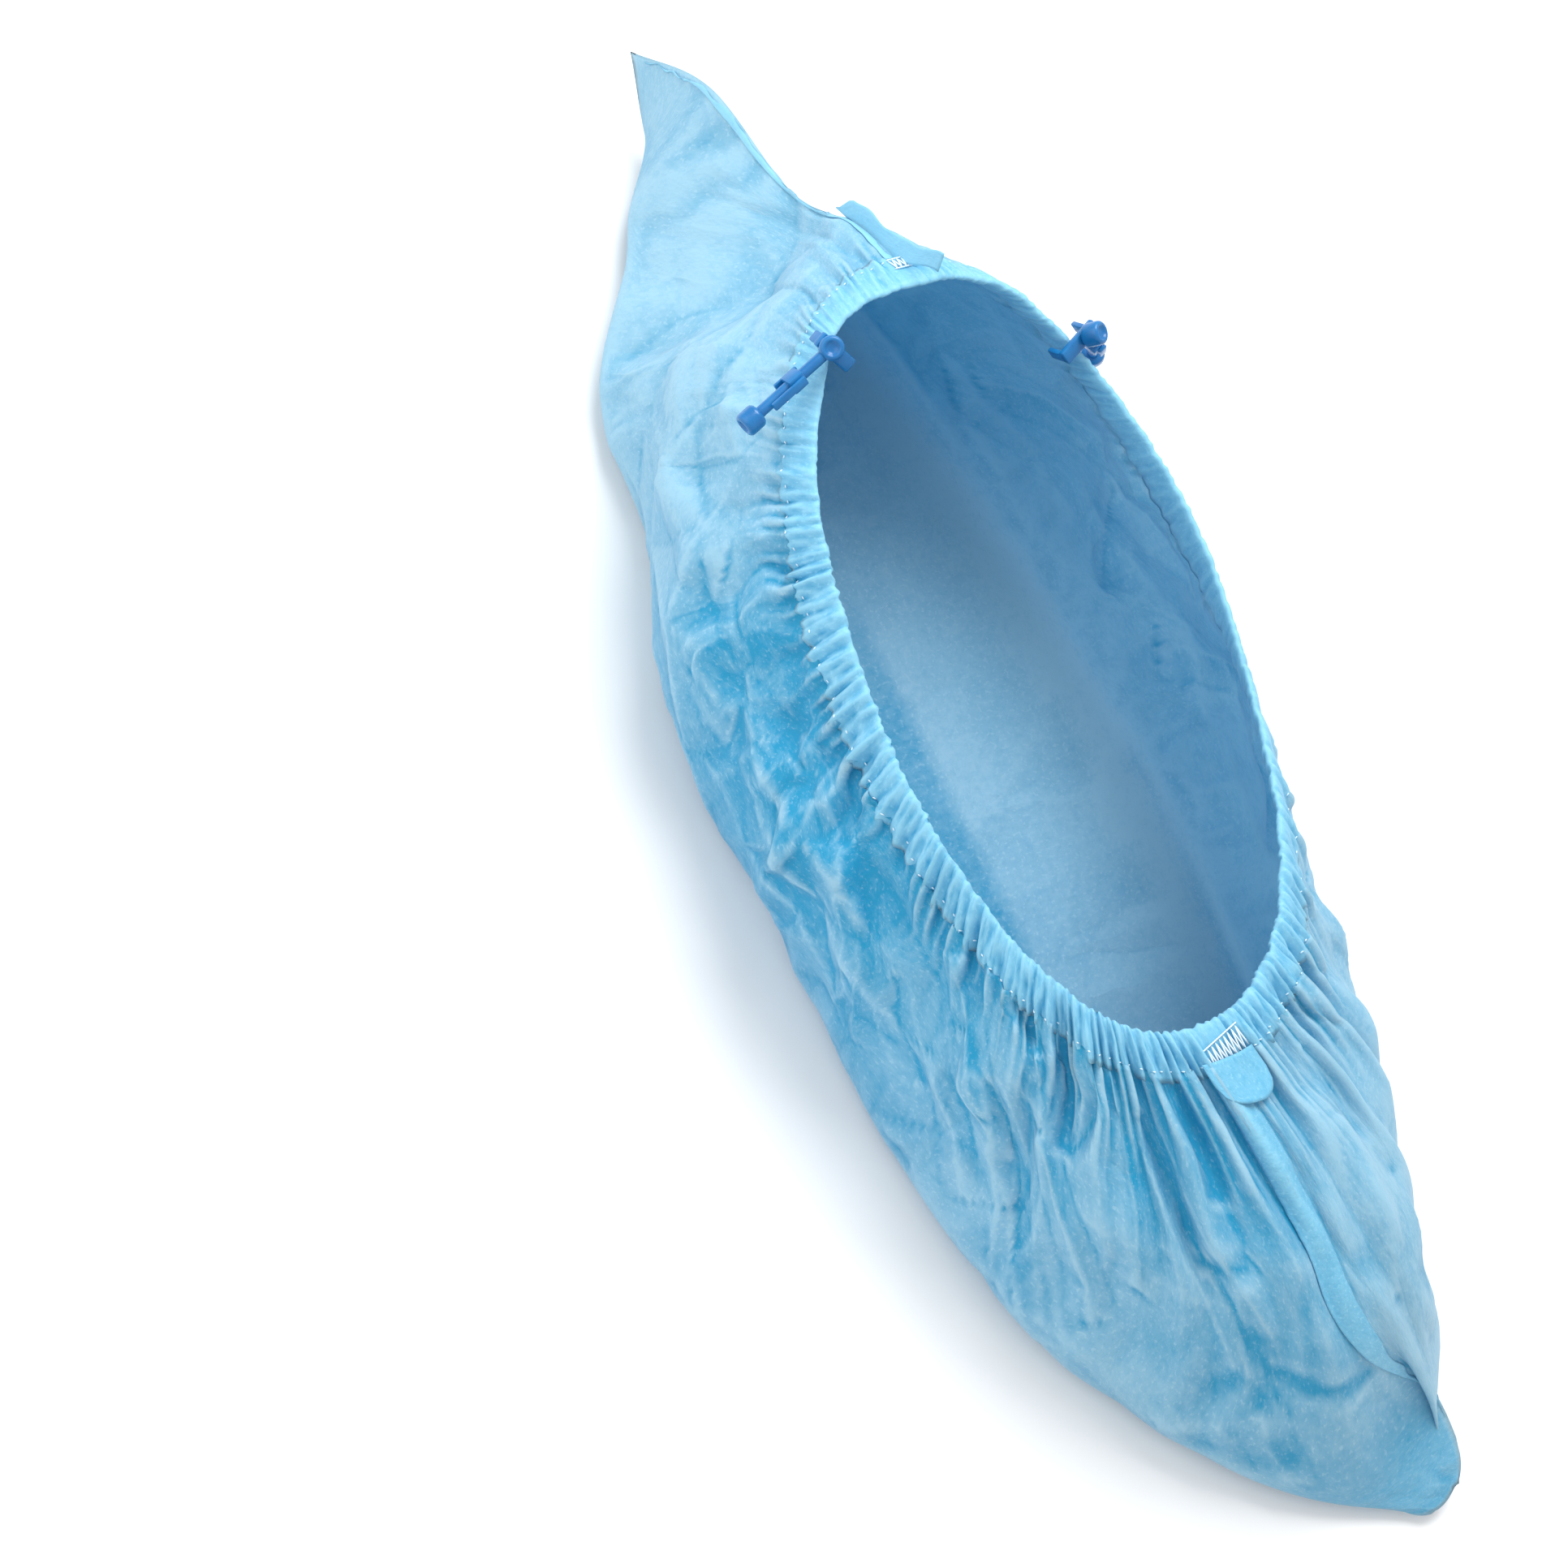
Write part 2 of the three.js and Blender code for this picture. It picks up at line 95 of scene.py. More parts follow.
Section = namedtuple("Section", (
    "flat", "sole_x", "sole_y", "sole_z", "edge_near", "edge_far", "edge_y", "edge_z",
    "belly_near", "belly_far", "belly_y", "belly_z",
))
SECTIONS = [Section(*row) for row in (
    (0, 2, 233, 9, 1, 1, 206, 36, 0, 0, 168, 51),
    (25, -2, 206, 3, -12, 7, 198, 8, -6, 5, 160, 50),
    (50, 0, 180, 1, -23, 16, 180, 7, -17, 13, 152, 46),
    (80, 0, 152, 0, -40, 32, 153, 5, -38, 30, 142, 36),
    (120, -2, 114, 0, -45, 40, 118, 3, -49, 42, 114, 30),
    (170, -2, 66, 0, -56, 48, 68, 2, -61, 52, 68, 28),
    (230, 0, 9, 0, -54, 52, 12, 2, -57, 58, 14, 32),
    (290, 2, -48, 0, -48, 50, -44, 2, -49, 53, -40, 34),
    (335, 7, -90, 0, -36, 47, -88, 3, -35, 45, -76, 38),
    (365, 15, -119, 0, -14, 52, -120, 4, -17, 38, -98, 42),
    (385, 30, -152, 2, 14, 41, -143, 7, 2, 24, -110, 43),
    (400, 46.8, -154.8, 6, 43, 43, -133, 14, 15, 15, -109, 44),
)]


@lru_cache(maxsize=None)
def section_at(flat):
    """Smooth section at a distance from the heel seam, between the rows of the table."""
    last = len(SECTIONS) - 2
    start = next((i for i in range(last) if flat <= SECTIONS[i + 1].flat), last)
    low, high = SECTIONS[start], SECTIONS[start + 1]
    span = high.flat - low.flat
    share = (flat - low.flat) / span

    def slope(index, name):
        before = SECTIONS[max(index - 1, 0)]
        after = SECTIONS[min(index + 1, len(SECTIONS) - 1)]
        return (getattr(after, name) - getattr(before, name)) / (after.flat - before.flat) * span

    def smooth(name):
        a, b = getattr(low, name), getattr(high, name)
        s, e = slope(start, name), slope(start + 1, name)
        return (((2 * (a - b) + s + e) * share + 3 * (b - a) - 2 * s - e) * share + s) * share + a

    return Section(*(smooth(name) for name in Section._fields))


WIDEST = 170
print("section at the widest place:", [round(v, 1) for v in section_at(WIDEST)])

# %% The mouth and the lines across the bag
MOUTH_BACK, MOUTH_FRONT, MOUTH_FRONT_SHIFT = 137, -48, -5
MOUTH_FULLNESS = {NEAR: 0.8, FAR: 1}
MOUTH_HALF_WIDTH = {NEAR: 49, FAR: 53}
MOUTH_SIDE_HEIGHT = {NEAR: 61, FAR: 57}
MOUTH_BACK_HEIGHT, MOUTH_FRONT_HEIGHT = 76, 68
SHOULDER_SHARE, SHOULDER_RISE = 0.58, 3
SPANS = 4


def blend(a, b, share):
    return a + (b - a) * share


def mouth_point(flat, side):
    turn = math.pi * flat / BLANK_LENGTH
    forward = (1 - math.cos(turn)) / 2
    sideways = max(math.sin(turn), 0) ** MOUTH_FULLNESS[side]
    end_height = blend(MOUTH_BACK_HEIGHT, MOUTH_FRONT_HEIGHT, forward)
    return Vector((
        MOUTH_FRONT_SHIFT * forward + side * MOUTH_HALF_WIDTH[side] * sideways,
        blend(MOUTH_BACK, MOUTH_FRONT, forward),
        blend(end_height, MOUTH_SIDE_HEIGHT[side], sideways * sideways),
    ))


@lru_cache(maxsize=None)
def guide_points(flat, side):
    """Sole, edge, belly, shoulder and mouth of one line across the bag, with a point added past each end."""
    row = section_at(flat)
    sole = Vector((row.sole_x, row.sole_y, row.sole_z))
    edge = Vector((row.edge_near if side == NEAR else row.edge_far, row.edge_y, row.edge_z))
    belly = Vector((row.belly_near if side == NEAR else row.belly_far, row.belly_y, row.belly_z))
    mouth = mouth_point(flat, side)
    shoulder = belly.lerp(mouth, SHOULDER_SHARE) + Vector((0, 0, SHOULDER_RISE))
    return [2 * sole - edge, sole, edge, belly, shoulder, mouth, 2 * mouth - shoulder]


def worn_point(flat, height, side):
    """Point of the smooth worn bag in millimetres. Height runs from 0 under the sole to 1 at the mouth."""
    points = guide_points(flat, side)
    span = min(int(height * SPANS), SPANS - 1)
    share = height * SPANS - span
    p0, p1, p2, p3 = points[span:span + 4]
    k0, k1, k2 = ((b - a).length ** 0.5 or 1 for a, b in ((p0, p1), (p1, p2), (p2, p3)))
    start = ((p1 - p0) / k0 - (p2 - p0) / (k0 + k1) + (p2 - p1) / k1) * k1
    end = ((p2 - p1) / k1 - (p3 - p1) / (k1 + k2) + (p3 - p2) / k2) * k1
    cube = 2 * (p1 - p2) + start + end
    square = 3 * (p2 - p1) - 2 * start - end
    point = ((cube * share + square) * share + start) * share + p1
    point.z = max(point.z, 0)
    return point + TABLE_ORIGIN


print("top of the heel in mm:", [round(v, 1) for v in worn_point(0, 1, NEAR)])

# %% [markdown]
# ## Gathers and folds
# Eight hundred millimetres of hem are drawn in to a mouth about half as long, so the spare cloth stands in
# fine gathers at the hem. A little lower they run together into wider pleats, and on the toe into long
# folds. Gathers and pleats are waves along the blank that fade down the wall, a table holds the long folds,
# and all of them are pushed out along the cloth's own normal. Straight slopes with sharp ridges look more
# like this papery cloth than a sine does.

# %% How strong the gathers are along the mouth
FLAT_DISTANCE = (0, 51, 86, 120, 141)
GATHER_STRENGTH = {
    NEAR: ((0, 0.55), (40, 0.28), (95, 0.3), (130, 0.7), (165, 1), (300, 1), (400, 0.9)),
    FAR: ((0, 0.55), (60, 0.3), (200, 0.25), (270, 0.5), (330, 0.9), (400, 0.9)),
}


def smooth_step(value, low, high):
    share = min(max((value - low) / (high - low), 0), 1)
    return share * share * (3 - 2 * share)


def from_fold(height):
    """Distance from the fold on the flat blank, in millimetres."""
    span = min(int(height * SPANS), SPANS - 1)
    return blend(FLAT_DISTANCE[span], FLAT_DISTANCE[span + 1], height * SPANS - span)


def from_mouth(height):
    return FLAT_DISTANCE[-1] - from_fold(height)


def at_marks(marks, flat):
    """Value between the marks of a table of (distance from the heel seam, value)."""
    for (low, a), (high, b) in zip(marks, marks[1:]):
        if flat <= high:
            return blend(a, b, smooth_step(flat, low, high))
    return marks[-1][1]


def gather_strength(flat, side):
    return at_marks(GATHER_STRENGTH[side], flat)


def seam_share(flat, reach=9):
    """Falls to nothing at both seams, where the two sides are sewn together."""
    return smooth_step(min(flat, BLANK_LENGTH - flat), 0, reach)


print("gather strength on the far side:", round(gather_strength(180, FAR), 2))

# %% Waves of the gathers
FINE_PITCH, FINE_DEPTH, FINE_SEED = 5.8, 1.35, 1
FINE_REACH, FINE_REACH_GROWS = (11, 19), (230, 320)
PLEAT_PITCH, PLEAT_DEPTH, PLEAT_SEED, PLEAT_LEAN = 19, 2.4, 3, 0.12
PLEAT_REACH, PLEAT_REACH_GROWS, PLEAT_TOP = (42, 62), (270, 330), (-14, 12)
Unevenness = namedtuple("Unevenness", ("share", "pitches", "side_gap", "seed"))
DRIFT = Unevenness(0.9, 3.1, 5.3, 0)
JITTER = Unevenness(0.45, 1.2, 3.7, 2)
SWELL = Unevenness(0.8, 1.7, 9.1, 7)
MEAN_SWELL = 0.75


def uneven(kind, flat, side, pitch, seed):
    """Slow noise along the blank, different on the two sides."""
    grain = Vector((flat / (pitch * kind.pitches), side * kind.side_gap, seed + kind.seed))
    return kind.share * noise.noise(grain)


def pleat_wave(flat, side, pitch, seed):
    """Straight slopes between sharp ridges and valleys, about one ridge for each pitch, unevenly spaced."""
    drift, jitter, swell = (uneven(kind, flat, side, pitch, seed) for kind in (DRIFT, JITTER, SWELL))
    beat = math.pi * (flat / pitch + drift + jitter)
    return (1 - 4 / math.pi * math.acos(min(abs(math.cos(beat)), 1))) * (MEAN_SWELL + swell)


def fine_gathers(flat, height, side):
    """The close gathers next to the hem, in millimetres outwards."""
    reach = blend(*FINE_REACH, smooth_step(flat, *FINE_REACH_GROWS))
    fade = math.exp(-(from_mouth(height) / reach) ** 2)
    return FINE_DEPTH * pleat_wave(flat, side, FINE_PITCH, FINE_SEED) * fade * gather_strength(flat, side)


def wide_pleats(flat, height, side):
    """The wider pleats below them."""
    distance = from_mouth(height)
    reach = blend(*PLEAT_REACH, smooth_step(flat, *PLEAT_REACH_GROWS))
    fade = math.exp(-(distance / reach) ** 2) * smooth_step(distance, *PLEAT_TOP)
    wave = pleat_wave(flat + PLEAT_LEAN * distance * side, side, PLEAT_PITCH, PLEAT_SEED)
    return PLEAT_DEPTH * wave * fade * gather_strength(flat, side)


print("fine gathers round the mouth:", round(2 * BLANK_LENGTH / FINE_PITCH))

# %% Long folds and dents
Fold = namedtuple("Fold", ("side", "flat", "height", "width", "reach", "slant", "depth"))
FOLDS = [Fold(*row) for row in (
    (NEAR, 300, 0.78, 7, 0.22, 0, 3),
    (NEAR, 318, 0.72, 6, 0.3, 0, -2.8),
    (NEAR, 334, 0.74, 6, 0.3, 0, 3.2),
    (NEAR, 352, 0.72, 6, 0.3, 0, -2.4),
    (NEAR, 368, 0.7, 5, 0.3, 0, 2.8),
    (FAR, 372, 0.72, 6, 0.3, 0, 2),
    (FAR, 350, 0.72, 7, 0.28, 0, -2),
    (FAR, 322, 0.72, 8, 0.25, 0, 2.2),
    (NEAR, 110, 0.62, 11, 0.14, 60, -3.5),
    (NEAR, 150, 0.55, 12, 0.16, -50, 3.2),
    (NEAR, 182, 0.66, 10, 0.16, 70, -4),
    (NEAR, 214, 0.58, 11, 0.15, -60, 3),
    (NEAR, 244, 0.68, 10, 0.16, 50, -3.2),
    (NEAR, 60, 0.5, 9, 0.14, -40, -2.2),
    (FAR, 120, 0.6, 12, 0.15, 50, -2.6),
    (FAR, 190, 0.64, 12, 0.16, -50, 2.6),
    (FAR, 250, 0.6, 11, 0.16, 40, -2.4),
)]


def long_folds(flat, height, side):
    total = 0
    for fold in FOLDS:
        if fold.side == side:
            rise = (height - fold.height) / fold.reach
            shift = (flat - fold.flat - fold.slant * (height - fold.height)) / fold.width
            total += fold.depth * math.exp(-rise * rise - shift * shift)
    return total * smooth_step(height, 0, 1 / SPANS)


print("long folds:", len(FOLDS))

# %% [markdown]
# ## The blank
# The cloth starts as what it is, a flat rectangle: one grid whose columns run from the heel seam to the toe
# seam and whose rows run from the near hem, round under the sole, to the far hem. Every corner keeps its
# place on the flat blank in two number layers and in a UV map, so the finish can follow the cloth. Near the
# toe the form is longer than the blank, so the map is drawn out there to keep the finish even. Each corner
# is then moved to its place on the worn bag.

# %% Cut the blank and lay it on the worn form
COLUMNS = 200
ROWS_PER_SPAN = (6, 8, 8, 8)
ROWS = sum(ROWS_PER_SPAN)
TOE_START, TOE_STRETCH = 345, 0.8


def row_height(row):
    """Height of a row, counted from the fold."""
    for span, rows in enumerate(ROWS_PER_SPAN):
        if row <= rows:
            return (span + row / rows) / SPANS
        row -= rows
    return 1


def cut_blank():
    mesh = bmesh.new()
    bmesh.ops.create_grid(mesh, x_segments=COLUMNS, y_segments=2 * ROWS, size=1)
    bmesh.ops.reverse_faces(mesh, faces=mesh.faces)
    flat_layer = mesh.verts.layers.float.new("flat")
    across_layer = mesh.verts.layers.float.new("across")
    for corner in mesh.verts:
        row = round(corner.co.y * ROWS)
        corner[flat_layer] = round((corner.co.x + 1) / 2 * COLUMNS) * BLANK_LENGTH / COLUMNS
        corner[across_layer] = math.copysign(row_height(abs(row)), row)
    return mesh


def place_of(mesh):
    """Returns a function that gives a corner's distance from the heel seam, its height and its side."""
    flat_layer = mesh.verts.layers.float["flat"]
    across_layer = mesh.verts.layers.float["across"]

    def place(corner):
        across = round(corner[across_layer], 4)
        return round(corner[flat_layer], 3), min(abs(across), 1), FAR if across > 0 else NEAR

    return place


def lay_on_form(mesh):
    place = place_of(mesh)
    blank_map = mesh.loops.layers.uv.new("blank")
    for face in mesh.faces:
        for loop in face.loops:
            flat, height, side = place(loop.vert)
            along = flat + TOE_STRETCH * max(flat - TOE_START, 0)
            loop[blank_map].uv = along * MM, side * from_fold(height) * MM
    for corner in mesh.verts:
        corner.co = worn_point(*place(corner))


cover_mesh = cut_blank()
lay_on_form(cover_mesh)
print("blank:", len(cover_mesh.verts), "corners,", len(cover_mesh.faces), "faces")

# %% Push out the pleats and folds
def push_out(mesh, depth):
    """Moves every corner along its own normal by depth(flat, height, side), in millimetres."""
    mesh.normal_update()
    place = place_of(mesh)
    ways = [corner.normal.copy() for corner in mesh.verts]
    for corner, way in zip(mesh.verts, ways):
        flat, height, side = place(corner)
        corner.co += way * depth(flat, height, side) * seam_share(flat)
        corner.co.z = max(corner.co.z, 0)


push_out(cover_mesh, lambda *place: wide_pleats(*place) + long_folds(*place))
print("normal under the sole:", [round(v, 2) for v in min(cover_mesh.verts, key=lambda v: v.co.z).normal])

# %% [markdown]
# ## Letting the cloth settle
# The wall has more cloth than it needs, and that slack crumples. Drawing each crumple by hand would never
# look like cloth, so Blender's cloth solver makes them. Negative shrinking makes the slack parts a little
# longer than they were. The hem, the seams, the sole and the ear at the toe are held, and a plain last
# inside keeps the bag open. The result is read back into the mesh, and the solver and the last are removed.

# %% Make the last that holds the bag open
LAST_FROM, LAST_TO, LAST_CLEARANCE = 76, 384, 4
LAST_COLUMNS, LAST_ROWS = 44, 14
LAST_SKIN, LAST_FRICTION = 1, 8


def new_object(name, mesh):
    """Puts a finished bmesh, in millimetres, into a new object of that name, in metres."""
    bmesh.ops.scale(mesh, vec=(MM, MM, MM), verts=mesh.verts)
    data = bpy.data.meshes.new(name)
    mesh.to_mesh(data)
    mesh.free()
    data.shade_smooth()
    made = bpy.data.objects.new(name, data)
    bpy.context.scene.collection.objects.link(made)
    return made


def make_last():
    mesh = bmesh.new()
    bmesh.ops.create_grid(mesh, x_segments=LAST_COLUMNS, y_segments=2 * LAST_ROWS, size=1)
    bmesh.ops.reverse_faces(mesh, faces=mesh.faces)
    for corner in mesh.verts:
        flat = blend(LAST_FROM, LAST_TO, (corner.co.x + 1) / 2)
        corner.co = worn_point(flat, abs(corner.co.y), FAR if corner.co.y > 0 else NEAR)
    mesh.normal_update()
    ways = [corner.normal.copy() for corner in mesh.verts]
    for corner, way in zip(mesh.verts, ways):
        corner.co -= way * LAST_CLEARANCE
    last = new_object("last", mesh)
    last.modifiers.new("collision", "COLLISION")
    last.collision.thickness_outer = LAST_SKIN * MM
    last.collision.cloth_friction = LAST_FRICTION
    return last


print("the last is", LAST_TO - LAST_FROM, "mm of the blank long")

# %% Hold some of the cloth and slacken the rest
HELD_HEIGHT, HELD_SEAM = 0.25, 1
EAR_START, EAR_HEIGHT = 380, 0.55
SLACK_FOOT, SLACK_TOP, SLACK_AT_HEM = (0.2, 0.4), (0.8, 1), 0.5
SLACK_SHARE = {
    NEAR: ((0, 0.3), (60, 0.5), (110, 0.9), (250, 0.9), (300, 0.4), (340, 0.15), (400, 0.1)),
    FAR: ((0, 0.3), (90, 0.5), (270, 0.5), (330, 0.2), (400, 0.1)),
}


def hold_and_slacken(piece, places):
    held = piece.vertex_groups.new(name="held")
    taut = piece.vertex_groups.new(name="taut")
    for index, (flat, height, side) in enumerate(places):
        in_ear = flat > EAR_START and height < EAR_HEIGHT
        at_seam = seam_share(flat, HELD_SEAM) < 1
        if in_ear or at_seam or height >= 1 or height <= HELD_HEIGHT:
            held.add([index], 1, "REPLACE")
        near_hem = smooth_step(height, *SLACK_TOP)
        on_wall = smooth_step(height, *SLACK_FOOT) * blend(1, SLACK_AT_HEM, near_hem)
        taut.add([index], 1 - at_marks(SLACK_SHARE[side], flat) * on_wall, "REPLACE")


print("slack share at the widest place:", at_marks(SLACK_SHARE[NEAR], WIDEST))

# %% Settle the cloth
SETTLE_STEPS = 30
SLACK = 0.1
CLOTH_GAP, MOVE_LIMIT = 1, 8


def settle(piece):
    cloth = piece.modifiers.new("settle", "CLOTH")
    settings = cloth.settings
    settings.quality = 6
    settings.mass = 0.003
    settings.tension_stiffness = settings.compression_stiffness = 40
    settings.shear_stiffness = 20
    settings.bending_stiffness = 0.6
    settings.tension_damping = settings.compression_damping = settings.shear_damping = 0.2
    settings.bending_damping = 0.2
    settings.air_damping = 0.02
    settings.shrink_min = -SLACK
    settings.shrink_max = 0
    settings.vertex_group_mass = "held"
    settings.vertex_group_shrink = "taut"
    settings.effector_weights.gravity = 0.6
    cloth.collision_settings.distance_min = CLOTH_GAP * MM
    cloth.point_cache.frame_end = SETTLE_STEPS
    for step in range(1, SETTLE_STEPS + 1):
        bpy.context.scene.frame_set(step)
    solved = piece.evaluated_get(bpy.context.evaluated_depsgraph_get())
    points = [corner.co.copy() for corner in solved.to_mesh().vertices]
    solved.to_mesh_clear()
    piece.modifiers.remove(cloth)
    bpy.context.scene.frame_set(1)
    return points


def take_settled(piece, points):
    """Moves the cloth to where it settled, but no further than the limit and not into the ground."""
    moves = []
    for corner, point in zip(piece.data.vertices, points):
        move = point - corner.co
        move /= math.hypot(1, move.length / (MOVE_LIMIT * MM))
        corner.co += move
        corner.co.z = max(corner.co.z, 0)
        moves.append(move.length / MM)
    mean = sum(moves) / len(moves)
    print("settled by", round(mean, 2), "mm on average and", round(max(moves), 2), "at most")


find_place = place_of(cover_mesh)
cover_places = [find_place(corner) for corner in cover_mesh.verts]
cover = new_object("cover", cover_mesh)
last = make_last()
hold_and_slacken(cover, cover_places)
take_settled(cover, settle(cover))
cover.vertex_groups.clear()
bpy.data.objects.remove(last)

# %% [markdown]
# ## Finer cloth
# The solver's grid is too coarse for the close gathers at the hem, and it rounds the pleats. So the settled
# cloth is subdivided once, and its panels, gathers, pleats and creases are shaped on the finer mesh.

# %% Subdivide the settled cloth
def finer(piece):
    """Returns a bmesh of the piece in millimetres, subdivided once."""
    rounder = piece.modifiers.new("finer", "SUBSURF")
    rounder.levels = rounder.render_levels = 1
    mesh = bmesh.new()
    mesh.from_object(piece, bpy.context.evaluated_depsgraph_get())
    piece.modifiers.remove(rounder)
    bmesh.ops.scale(mesh, vec=(1 / MM, 1 / MM, 1 / MM), verts=mesh.verts)
    return mesh


fine_mesh = finer(cover)
print("finer cloth:", len(fine_mesh.verts), "corners")

# %% [markdown]
# ## Panels
# Crumpled nonwoven doesn't billow like silk: it breaks into flat panels between straight creases, as paper
# does. So the settled wall is divided into triangles, unevenly, by a bent grid on the blank. The crossings
# of the grid are raised or sunk a little at random, and each corner of the mesh is drawn towards the plane
# of its triangle.

# %% Flatten the crumples into panels
from mathutils.kdtree import KDTree

PANEL_LENGTH, PANEL_HEIGHT, PANEL_BEND, PANEL_GRAIN = 19, 15, 9, 23
PANEL_FOOT, PANEL_TOP, PANEL_SEAM = (0.26, 0.38), (0.8, 0.98), 25
ACROSS_SEED, DEPTH_SEED = Vector((0, 0, 5)), 3
PANEL_SHARE = {
    NEAR: ((0, 0.3), (70, 0.6), (120, 0.85), (270, 0.85), (320, 0.4), (400, 0.2)),
    FAR: ((0, 0.3), (90, 0.6), (290, 0.6), (340, 0.4), (400, 0.2)),
}
PANEL_DEPTH = {
    NEAR: ((0, 0.6), (90, 1), (130, 2.2), (270, 2.2), (320, 0.8), (400, 0.4)),
    FAR: ((0, 0.6), (90, 1.4), (290, 1.4), (340, 0.6), (400, 0.4)),
}


def panel_place(flat, height, side):
    """Place on the bent grid of panels, one unit for each panel."""
    drop = from_fold(height)
    grain = Vector((flat / PANEL_GRAIN, drop / PANEL_GRAIN, side))
    along = flat + PANEL_BEND * noise.noise(grain)
    across = drop + PANEL_BEND * noise.noise(grain + ACROSS_SEED)
    return along / PANEL_LENGTH, side * across / PANEL_HEIGHT


def in_panel(corner_at, u, v):
    """Point on the flat triangle at a place of the grid. Its long side leans either way in turn."""
    column, row = math.floor(u), math.floor(v)
    s, t = u - column, v - row
    if (column + row) % 2:
        column, s, step = column + 1, 1 - s, -1
    else:
        step = 1
    start, far = corner_at(column, row), corner_at(column + step, row + 1)
    if s > t:
        turn = corner_at(column + step, row)
        return start + (turn - start) * s + (far - turn) * t
    turn = corner_at(column, row + 1)
    return start + (turn - start) * t + (far - turn) * s


def flatten_crumples(mesh):
    mesh.normal_update()
    place = place_of(mesh)
    cloth = [(corner.co.copy(), corner.normal.copy(), *place(corner)) for corner in mesh.verts]
    spots = [panel_place(flat, height, side) for _, _, flat, height, side in cloth]
    tree = KDTree(len(spots))
    for index, spot in enumerate(spots):
        tree.insert((*spot, 0), index)
    tree.balance()

    @lru_cache(maxsize=None)
    def corner_at(column, row):
        point, way, flat, _, side = cloth[tree.find((column, row, 0))[1]]
        depth = at_marks(PANEL_DEPTH[side], flat)
        return point + way * noise.cell(Vector((column, row, DEPTH_SEED))) * depth

    for corner, spot in zip(mesh.verts, spots):
        flat, height, side = place(corner)
        on_wall = smooth_step(height, *PANEL_FOOT) * (1 - smooth_step(height, *PANEL_TOP))
        share = on_wall * seam_share(flat, PANEL_SEAM) * at_marks(PANEL_SHARE[side], flat)
        corner.co = corner.co.lerp(in_panel(corner_at, *spot), share)


flatten_crumples(fine_mesh)
print("panels along the blank:", round(BLANK_LENGTH / PANEL_LENGTH))

# %% [markdown]
# ## Creases
# The main creases of the real cover run straight from one bend of the cloth to the next. Each row below
# gives the two ends of one on the blank, with its width and its depth. A crease of nonwoven is a ridge as
# sharp as in paper, so its section is a roof and not a bell, and a negative depth makes it a valley.

